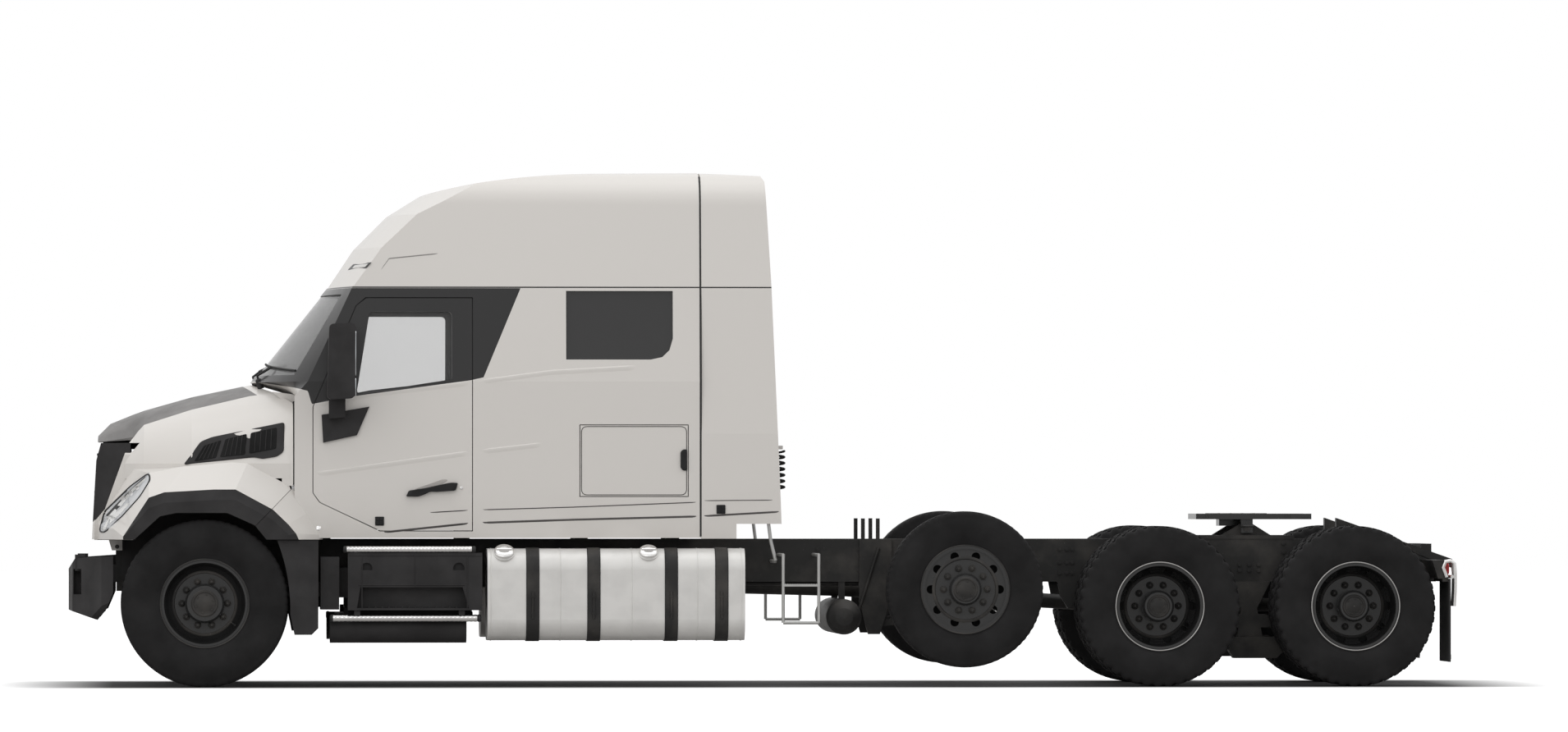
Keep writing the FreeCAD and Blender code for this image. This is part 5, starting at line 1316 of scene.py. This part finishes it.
@dataclass
class Pressings(Assembly):
    """Pressed lines on the doors, the sleeper and the roof; the thin grey ones are strips of painted shade.
    """

    def build(self) -> None:
        """Lays each line on each sub-part it crosses, on both sides."""
        for number, line in enumerate(SWAGES, start=1):
            for side, word in SIDES:
                for node in line.nodes:
                    self.lay(number, line, f"door_{word}" if node == "door" else node, side, word)

    def lay(self, number: int, line: Swage, node: str, side: float, word: str) -> None:
        """One line on one sub-part: height = 1 at its crest, falling softly below it.

        Args:
            number: the line's number.
            line: its corners and section.
            node: the sub-part.
            side: LEFT or RIGHT.
            word: the side's word.
        """
        low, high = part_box(node)
        start = max(line.corners[0, 0], low[0] - AXLE + 0.02)
        stop = min(line.corners[-1, 0], high[0] - AXLE - 0.02)
        if stop - start < 0.1:
            return
        x = np.linspace(start, stop, 60)
        z = np.interp(x, line.corners[:, 0], line.corners[:, 1])
        ends = np.clip(np.minimum(x - start, stop - x) / 0.05, 0.0, 1.0)
        across = np.array((0.5, 0.12, 0.0, -0.1, -0.6, -1.2))
        rise = np.array((-0.2, 0.05, 0.85, 1.0, 0.4, -0.2))
        crest = rise[:, None] * line.height * ends - 0.0006 * (1 - ends)
        grid = np.stack(np.broadcast_arrays(x, z + across[:, None] * line.width, crest), axis=-1)
        self.piece(f"pressing_{number}_{node.split('_')[0]}_{word}",
                   [Skin(raised(grid, node, side), closed=False)], line.finish, "cab_paint",
                   body=node if node.startswith("door") else "chassis")


# ---- side equipment ----------------------------------------------------------------------


@dataclass
class TankTrim(Assembly):
    """Filler caps, seams and strap bolts of the fuel tanks."""

    seams: tuple[float, ...] = (1.915, 2.381, 2.86, 3.3, 3.596)
    straps: tuple[float, ...] = (2.195, 2.604, 3.124, 3.462)
    outer: float = 1.210
    corner: float = 0.140
    low: float = 0.313
    high: float = 0.929

    def one_side(self, side: float, word: str) -> None:
        """Makes the caps, the seams and the bolts of one tank."""
        self.caps(side, word)
        beads = [self.band(x, 0.0, side, 0.0035, 8) for x in self.seams]
        self.piece(f"tank_seams_{word}", beads, TANK_SATIN)
        self.bolts(side, word)

    def caps(self, side: float, word: str) -> None:
        """Two filler caps on the tank's upper corner, each with a neck and a grip bar."""
        lean = math.radians(50.0)
        way = (0.0, side * math.cos(lean), math.sin(lean))
        reach = self.corner * (1 - math.cos(lean))
        drop = self.corner * (1 - math.sin(lean))
        caps, necks = [], []
        for x, size in ((2.004, 0.062), (2.972, 0.058)):
            foot = (AXLE + x, side * (self.outer - reach - 0.02), self.high - drop - 0.02)
            necks.append(turned([(0.0, 0.0), (size + 0.01, 0.0), (size + 0.01, 0.030), (size, 0.034),
                                 (0.0, 0.034)], foot, way, 40))
            rows = [(0.0, 0.032), (size, 0.032), (size + 0.004, 0.038), (size + 0.004, 0.052),
                    (size - 0.006, 0.060), (size * 0.6, 0.062), (size * 0.55, 0.056), (0.0, 0.055)]
            caps.append(turned(rows, foot, way, 40))
            middle = np.array(foot) + 0.062 * np.array(way)
            bar = np.array(((-size * 0.8, 0.0, 0.0), (size * 0.8, 0.0, 0.0)))
            caps.append(tube(middle + bar, 0.009, 8, (0.0, 0.3, 1.0)))
        self.piece(f"filler_necks_{word}", necks, TANK_SATIN)
        self.piece(f"filler_caps_{word}", caps, BRIGHT, "tank_metal")

    def band(self, x: float, grow: float, side: float, radius: float, steps: int) -> Skin:
        """A thin tube round the tank's outer half.

        Args:
            x: its station.
            grow: how far it stands off the tank.
            side: LEFT or RIGHT.
            radius: the tube's radius.
            steps: points round the tube.

        Returns:
            The surface.
        """
        angle = np.radians(np.linspace(-90.0, 0.0, 9))
        reach = self.corner + grow
        lower = np.stack((self.outer - self.corner + reach * np.cos(angle),
                          self.low + self.corner + reach * np.sin(angle)), axis=-1)
        upper = lower[::-1] * (1, -1) + (0, self.low + self.high)
        inset = np.array(((-0.15, 0.0),))
        profile = np.concatenate((lower[:1] + inset, lower, upper, upper[-1:] + inset))
        path = np.stack((np.full(len(profile), AXLE + x), side * profile[:, 0], profile[:, 1]), axis=-1)
        return tube(path, radius, steps, BACK)

    def bolts(self, side: float, word: str) -> None:
        """A rubber edge under each strap, and its tightening bolt with two nuts."""
        edges, bolts = [], []
        for x in self.straps:
            edges += [self.band(x + away, 0.003, side, 0.004, 6) for away in (-0.041, 0.041)]
            foot = (AXLE + x, side * (self.outer + 0.013), 0.55)
            bolts.append(turned([(0.0, -0.09), (0.007, -0.09), (0.007, 0.09), (0.0, 0.09)], foot, UP, 12))
            bolts += [turned([(0.0, 0.0), (0.0135, 0.0), (0.0135, 0.012), (0.0, 0.012)],
                             (foot[0], foot[1], foot[2] + end), UP, 6) for end in (-0.062, 0.052)]
        self.piece(f"strap_edges_{word}", edges, RUBBER)
        self.piece(f"strap_bolts_{word}", bolts, NUT_BLACK, "frame_black")


@dataclass
class StepTrim(Assembly):
    """Tubular steps, box lines and ladder grips on both sides."""

    # each tube: first and last station, place across, height, radius
    rails: tuple[tuple[float, ...], ...] = ((0.933, 1.806, 1.195, 0.924, 0.019),
                                            (0.842, 1.844, 1.160, 0.463, 0.022))
    rings: int = 34
    face: float = 1.196

    def one_side(self, side: float, word: str) -> None:
        """Makes the tubes, the lines on the box and the ladder's grips."""
        self.tubes(side, word)
        self.box_lines(side, word)
        teeth = [rod((x, side * 1.148, 0.690), (x, side * 1.172, 0.690), 0.003)
                 for x in np.arange(3.892, 4.104, 0.016)]
        self.piece(f"ladder_grip_{word}", teeth, CAST_ALLOY)

    def tubes(self, side: float, word: str) -> None:
        """Bright sleeves round the step tubes, with pressed grip rings, a sill of painted shade and end caps.
        """
        sleeves, caps = [], []
        for start, stop, y, z, radius in self.rails:
            rows = [(0.0, 0.004)]
            pitch = (stop - start - 0.03) / self.rings
            for number in range(self.rings):
                at = 0.015 + number * pitch
                rows += [(radius + 0.0008, at), (radius + 0.0022, at + pitch * 0.3),
                         (radius + 0.0022, at + pitch * 0.5), (radius + 0.0008, at + pitch * 0.8)]
            rows.append((0.0, stop - start - 0.004))
            sleeves.append(turned(rows, (AXLE + start, side * y, z), BACK, 32))
            for end, way in ((start, -1.0), (stop, 1.0)):
                caps.append(turned([(radius + 0.003, -0.016), (radius + 0.003, 0.0), (radius - 0.003, 0.006),
                                    (0.0, 0.007)], (AXLE + end, side * y, z), (way, 0.0, 0.0), 24))
        self.piece(f"step_tubes_{word}", sleeves, BRIGHT)
        # painted shade: a black sheet in the recess behind the lower step tube
        sill = rounded(mm(930, 455, 930, 535, 1790, 535, 1790, 455), 0.005)
        self.piece(f"step_sill_{word}", [upright(plate(sill, SHEET), side * 1.08)], SHADE_BLACK)
        self.piece(f"step_tube_ends_{word}", caps, RUBBER)

    def box_lines(self, side: float, word: str) -> None:
        """Panel lines upright and along the box, and a tread mat on the step."""
        y = side * self.face
        skins = [rod((x, y, low), (x, y, high), 0.004, lift=BACK)
                 for x, low, high in ((1.052, 0.53, 0.89), (1.405, 0.68, 0.89), (1.757, 0.53, 0.89))]
        skins += [rod((low, y, z), (high, y, z), 0.004)
                  for low, high, z in ((0.962, 1.852, 0.882), (1.03, 1.74, 0.686))]
        skins += [rod((x, side * 1.115, 0.534), (x, side * 1.185, 0.534), 0.006)
                  for x in np.arange(1.10, 1.72, 0.045)]
        self.piece(f"step_box_lines_{word}", skins, TRIM_GREY)


# ---- chassis -----------------------------------------------------------------------------


# bolt heads on the rails, as groups of stations that share a group of heights
BOLTS = (((5.795, 5.843, 5.88), (0.76, 0.83, 0.92)), ((7.02, 7.085, 7.15), (0.775, 0.815)),
         ((4.15, 4.43, 4.56, 4.84, 5.35, 6.35, 7.75, 8.05), (0.78, 0.92)),
         ((6.62, 6.78, 7.32, 7.48), (0.84, 0.90, 0.96)))


@dataclass
class ChassisTrim(Assembly):
    """Bolts, pipes, tail lamp lenses and the coupling's small parts."""

    web: float = 0.432
    pipe_start: float = 3.95
    pipe_stop: float = 8.0
    clip_pitch: float = 0.45

    def build(self) -> None:
        """Makes the chassis' small pieces."""
        self.bolts()
        self.lines()
        super().build()
        self.coupling()

    def bolts(self) -> None:
        """Bolt heads on the rails' outer webs, in clusters at each cross member and hanger."""
        places = [(x, 0.0, z) for stations, heights in BOLTS for x in stations for z in heights]
        skins = []
        for side, _ in SIDES:
            head = turned([(0.0, -0.003), (0.018, -0.003), (0.018, 0.003), (0.013, 0.003), (0.013, 0.013),
                           (0.0, 0.014)], (AXLE, side * self.web, 0.0), (0.0, side, 0.0), 6)
            skins += head.copies(shifted(head.points, places))
        self.piece("frame_bolts", skins, CHASSIS)

    def lines(self) -> None:
        """Bundled air pipes clipped along the inside of each rail, sagging a little between clips."""
        x = np.linspace(self.pipe_start, self.pipe_stop, 120)
        pipes, clips = [], []
        for side, _ in SIDES:
            for number, (y, z) in enumerate(((0.33, 0.965), (0.31, 0.945), (0.325, 0.925))):
                waves = np.abs(np.sin(np.pi * (x - self.pipe_start) / self.clip_pitch))
                sag = 0.008 * waves * (1 + 0.2 * number)
                pipes.append(tube(np.stack((x + AXLE, np.full(120, side * y), z - sag), axis=-1), 0.008, 8))
            clips += [turned([(0.034, -0.01), (0.037, -0.01), (0.037, 0.01), (0.034, 0.01)],
                             (AXLE + at, side * 0.322, 0.942), BACK, 16)
                      for at in np.arange(self.pipe_start, self.pipe_stop, self.clip_pitch)]
        self.piece("air_pipes", pipes, RUBBER, "frame_black")
        self.piece("pipe_clips", clips, CHASSIS)

    def one_side(self, side: float, word: str) -> None:
        """Makes the tail lamp's lenses, what carries the flap and weighs it, and the extender's stay."""
        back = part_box("tail_lights")[1][0]
        lenses = [facing_back(plate(panel(inner, outer, 0.757, 0.823, 0.012), soft_edge(0.010, 0.004)),
                              back - 0.002, side)
                  for inner, outer in ((0.735, 0.835), (0.845, 0.935), (0.945, 1.045))]
        self.piece(f"tail_lenses_{word}", lenses, RED_LENS)
        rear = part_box("mudflaps")[1][0]
        bar = plate(panel(0.66, 1.21, 0.182, 0.215, 0.008), soft_edge(0.006, 0.002))
        self.piece(f"flap_weight_{word}", [facing_back(bar, rear - 0.001, side)], CAST_ALLOY, "rubber")
        hook = mm(8345, 735, 8322, 800, 8338, 838, 8372, 845, 8398, 828, 8404, 760, 8402, 640, 8396, 540)
        hangers = [tube(np.stack((hook[:, 0] + AXLE, np.full(8, side * y), hook[:, 1]), -1), 0.013, 12,
                        ACROSS)
                   for y in (1.10, 1.19)]
        hangers.append(rod((8.384, side * 0.60, 0.738), (8.384, side * 1.20, 0.738), 0.012, 12))
        self.piece(f"flap_hangers_{word}", hangers, BRIGHT)
        stay = np.array(((3.785, 1.02, 1.10), (3.800, 1.02, 0.98), (3.832, 1.02, 0.85), (3.832, 1.00, 0.842),
                         (3.832, 0.44, 0.842)))
        path = stay * (1.0, side, 1.0) + (AXLE, 0.0, 0.0)
        self.piece(f"extender_stay_{word}", [tube(path, 0.012, 12, (1.0, 0.3 * side, 0.2))], CAST_ALLOY)
        screws = [turned([(0.0, 0.0), (0.012, 0.0), (0.012, 0.006), (0.0, 0.008)],
                         (rear, side * y, 0.70), BACK, 12)
                  for y in (0.70, 0.93, 1.16)]
        self.piece(f"flap_screws_{word}", screws, CAST_ALLOY, "rubber")

    def coupling(self) -> None:
        """Grease grooves across the coupling plate and its release handle."""
        low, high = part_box("fifth_wheel")
        y = np.linspace(-0.40, 0.40, 41)
        grooves = []
        for x in np.linspace(low[0] + 0.10, low[0] + 0.42, 5):
            start = np.stack((np.full(41, x) + 0.05 * (y / 0.4) ** 2, y, np.full(41, high[2] + 0.3)), axis=-1)
            path = landed(start, "fifth_wheel", 2, -1.0)
            path = path[np.abs(path[:, 2] - high[2]) < 0.03]
            if len(path) > 4:
                grooves.append(tube(path + (0.0, 0.0, 0.0002), 0.0035, 6, (1.0, 0.0, 0.3)))
        if grooves:
            self.piece("coupling_grease", grooves, GREASE, body="fifth_wheel")
        x, z = low[0] + 0.30, low[2] + 0.045
        path = np.array(((x, -0.40, z), (x, -0.56, z), (x + 0.012, -0.585, z), (x + 0.05, -0.592, z),
                         (x + 0.062, -0.58, z), (x + 0.062, -0.55, z)))
        self.piece("coupling_handle", [tube(path, 0.008, 10)], CHASSIS, body="fifth_wheel")


@dataclass
class AirLines(Assembly):
    """Two coiled air lines hung from the bracket behind the cab."""

    turns: float = 6.5
    coil: float = 0.038
    wire: float = 0.0075

    def build(self) -> None:
        """Makes the coils, point = centre + coil * (cos a, sin a), falling evenly with a."""
        low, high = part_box("air_lines")
        x = (low[0] + high[0]) / 2
        angle = np.linspace(0.0, 2 * np.pi * self.turns, int(self.turns * 28))
        for word, y in (("left", low[1] + 0.046), ("right", high[1] - 0.046)):
            z = np.linspace(high[2] - 0.012, low[2] + 0.012, len(angle))
            path = np.stack((x + self.coil * np.cos(angle), y + self.coil * np.sin(angle), z), axis=-1)
            line = self.piece(f"coiled_air_line_{word}", [tube(path, self.wire, 10)], HOSE_BLACK,
                              replaces=("air_lines",))


# ---- cabin -------------------------------------------------------------------------------


def cushion(middle: Point, size: Point, crown: float, channels: int, turn: float = 0.0) -> Skin:
    """A stuffed closed form: a superellipsoid with sewn channels across its front.

    Each half axis is size/2; |cos|^0.35 squares it, and the face swells by crown between seams.

    Args:
        middle: its middle.
        size: its length, width and height.
        crown: how far its faces swell.
        channels: sewn lines across it.
        turn: lean about the Y axis, in radians.

    Returns:
        The surface.
    """
    u = np.linspace(-np.pi / 2, np.pi / 2, 49)[:, None]
    v = np.linspace(0.0, 2 * np.pi, 96, endpoint=False)[None, :]
    cos_u, sin_u, cos_v, sin_v = (np.sign(wave) * np.abs(wave) ** 0.35
                                  for wave in (np.cos(u), np.sin(u), np.cos(v), np.sin(v)))
    shape = np.stack(np.broadcast_arrays(cos_u * cos_v, cos_u * sin_v, sin_u), axis=-1)
    puff = 1 - 0.5 * (shape[..., 0] ** 2 + shape[..., 1] ** 2)
    seams = 1 - 0.35 * np.exp(-((shape[..., 1:2] * channels / 2) % 1.0 - 0.5) ** 2 / 0.006)
    swell = crown * puff[..., None] * seams * np.array(UP) * np.sign(shape)
    local = shape * (np.array(size) / 2 - (0.0, 0.0, crown)) + swell
    cos, sin = math.cos(turn), math.sin(turn)
    x, z = local[..., 0] * cos + local[..., 2] * sin, local[..., 2] * cos - local[..., 0] * sin
    return Skin(np.stack((x, local[..., 1], z), axis=-1) + np.array(middle))


@dataclass
class Cabin(Assembly):
    """Padded seats and bunk."""

    upright_turn: float = math.radians(88)

    def build(self) -> None:
        """Makes what shows through the windows."""
        bases, pads = [], []
        for y in (-0.505, 0.505):
            grid = plate(panel(1.42, 1.74, -0.16, 0.16, 0.05), [(0.0, 1.112), (0.0, 1.30), (0.02, 1.42)])
            bases.append(Skin(np.stack((grid[..., 0] + AXLE, y + grid[..., 1], grid[..., 2]), axis=-1)))
            pads.append(cushion((AXLE + 1.565, y, 1.485), (0.46, 0.49, 0.128), 0.02, 5))
            pads.append(cushion((AXLE + 1.822, y, 1.80), (0.50, 0.47, 0.108), 0.018, 5, self.upright_turn))
            pads.append(cushion((AXLE + 1.822, y, 2.145), (0.18, 0.30, 0.10), 0.02, 1, self.upright_turn))
        self.piece("seat_bases", bases, CABIN_TRIM, replaces=("seats",))
        self.piece("seat_cushions", pads, SEAT_CLOTH, smooth=80.0)
        low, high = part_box("bunk")
        size = tuple(b - a for a, b in zip(low, high))
        middle = tuple((a + b) / 2 for a, b in zip(low, high))
        bed = self.piece("bunk_mattress", [cushion(middle, size, 0.03, 7)], SEAT_CLOTH, smooth=80.0,
                         replaces=("bunk",))


# ---- studio ------------------------------------------------------------------------------


def placed(name: str, data: bpy.types.ID, place: Point = (0.0, 0.0, 0.0), turn: Point = (0.0, 0.0, 0.0)
           ) -> bpy.types.Object:
    """Returns a new object in the scene, with this data, place and turn."""
    obj = bpy.data.objects.new(name, data)
    obj.location, obj.rotation_euler = place, turn
    bpy.context.scene.collection.objects.link(obj)
    return obj


@dataclass
class Studio:
    """Plain pale floor, soft light from above and the camera at the truck's left side."""

    camera_place: Point = (-3.7775, -74.2, 1.24)
    camera_turn: Point = (math.pi / 2 + 0.0125, 0.0, -0.0531)
    lens: float = 250.2
    sensor: float = 36.0
    clip_end: float = 300.0
    floor_size: float = 240.0
    surround: tuple[float, float] = (0.70, 1.05)
    floor_bounce: Colour = (0.45, 0.44, 0.43)
    floor_shaded: Colour = (0.05, 0.05, 0.05)
    floor_lit: Colour = (0.97, 0.97, 0.97)
    shade_middle: float = 0.1
    shade_ends: tuple[float, float] = (4.5, 5.3)
    shade_sides: tuple[float, float] = (1.2, 1.7)

    def build(self) -> None:
        """Makes floor, world, lights and camera."""
        self.floor()
        self.world()
        self.light("top_light", (0.0, -2.0, 12.0), (18.0, 8.0), 300.0, (0.0, 0.0, 1.0))
        self.light("front_light", (-9.0, -14.0, 7.0), (14.0, 8.0), 260.0, (-1.0, 0.0, 1.6))
        self.camera()
        bpy.context.scene.view_settings.view_transform = "Standard"

    def floor(self) -> None:
        """A large pale sheet on the ground, with soft shade painted under the truck."""
        half = self.floor_size / 2
        mesh = bpy.data.meshes.new("floor")
        corners = [(-half, -half, 0.0), (half, -half, 0.0), (half, half, 0.0), (-half, half, 0.0)]
        mesh.from_pydata(corners, [], [(0, 1, 2, 3)])
        graph = Graph("floor_pale")
        seen = graph.add("ShaderNodeLightPath").outputs["Is Camera Ray"]
        axes = graph.axes()
        along = graph.math("ABSOLUTE", graph.math("SUBTRACT", axes["X"], self.shade_middle))
        across = graph.math("ABSOLUTE", axes["Y"])
        shade = graph.math("MULTIPLY", graph.spread(along, 1.0, 0.0, *self.shade_ends),
                           graph.spread(across, 1.0, 0.0, *self.shade_sides))
        ground = graph.blend(graph.math("SUBTRACT", 1.0, shade), self.floor_shaded, self.floor_lit)
        graph.feed(Base_Color=graph.blend(seen, self.floor_bounce, ground),
                   Emission_Strength=graph.spread(graph.math("SUBTRACT", seen, shade), 0.0, 0.2))
        graph.set(Roughness=0.9, Emission_Color=(1.0, 1.0, 1.0))
        mesh.materials.append(graph.material)
        placed("floor", mesh)

    def world(self) -> None:
        """White to the camera; for the light it is brighter overhead than at the horizon."""
        world = bpy.data.worlds.new("studio")
        world.use_nodes = True
        tree = world.node_tree
        background = tree.nodes["Background"]
        coordinates, split, fade, ray, pick = (
            tree.nodes.new(kind)
            for kind in ("ShaderNodeTexCoord", "ShaderNodeSeparateXYZ", "ShaderNodeMapRange",
                                              "ShaderNodeLightPath", "ShaderNodeMapRange"))
        for node, numbers in ((fade, (-0.3, 0.9, *self.surround)), (pick, (0.0, 1.0, 0.0, 1.0))):
            for key, number in zip(("From Min", "From Max", "To Min", "To Max"), numbers):
                node.inputs[key].default_value = number
        for start, end in ((coordinates.outputs["Generated"], split.inputs[0]),
                           (split.outputs["Z"], fade.inputs["Value"]),
                           (ray.outputs["Is Camera Ray"], pick.inputs["Value"]),
                           (fade.outputs[0], pick.inputs["To Min"]),
                           (pick.outputs[0], background.inputs["Strength"])):
            tree.links.new(start, end)
        background.inputs["Color"].default_value = (1.0, 1.0, 1.0, 1.0)
        bpy.context.scene.world = world

    def light(self, name: str, place: Point, size: tuple[float, float], power: float, aim: Point) -> None:
        """A rectangular soft light.

        Args:
            name: the light's name.
            place: where it hangs.
            size: its width and height in metres.
            power: in watts.
            aim: the point it faces.
        """
        data = bpy.data.lights.new(name, "AREA")
        data.shape = "RECTANGLE"
        data.size, data.size_y = size
        data.energy = power
        placed(name, data, place, (Vector(aim) - Vector(place)).to_track_quat("-Z", "Y").to_euler())

    def camera(self) -> None:
        """A long lens, far from the truck's left side."""
        data = bpy.data.cameras.new("camera")
        data.lens, data.sensor_width, data.clip_end = self.lens, self.sensor, self.clip_end
        bpy.context.scene.camera = placed("camera", data, self.camera_place, self.camera_turn)


PUSHER = dict(tyre_width=0.28, nut_face=0.105, nut_ring=0.147, cap_face=0.148, cap_radius=0.108, domed=True)
DRIVE = dict(tyre_width=0.28, tread=Tread.LUGS, tyre_places=(-0.1715, 0.1715), nut_face=0.014, nut_ring=0.147,
             cap_face=0.175, cap_radius=0.1, pitches=44)


def fleet() -> list[Assembly]:
    """Every group of added pieces, wheels first."""
    groups: list[Assembly] = []
    for side, word in SIDES:
        groups.append(Wheel(f"steer_wheel_{word}", f"steer_{word}", f"steer_{word}_tyre", side))
        groups.append(Wheel(f"pusher_wheel_{word}", f"pusher_{word}", f"pusher_{word}_tyre", side, **PUSHER))
        for axle in ("front", "rear"):
            name = f"drive_{axle}_{word}"
            groups.append(Wheel(f"drive_wheels_{axle}_{word}", name, f"{name}_tyres", side, **DRIVE))
        groups.append(DoorTrim(side=side, word=word))
    return groups + [Collar(), HoodTrim(), CabTrim(), Pressings(), TankTrim(), StepTrim(), ChassisTrim(),
                     AirLines(), Cabin()]


def main() -> None:
    """Builds and dresses the truck, one sub-assembly after another."""
    logging.basicConfig(level=logging.INFO, format="%(name)s: %(message)s")
    dress()
    for assembly in fleet():
        assembly.build()
    Studio().build()


if __name__ == "__main__":
    main()
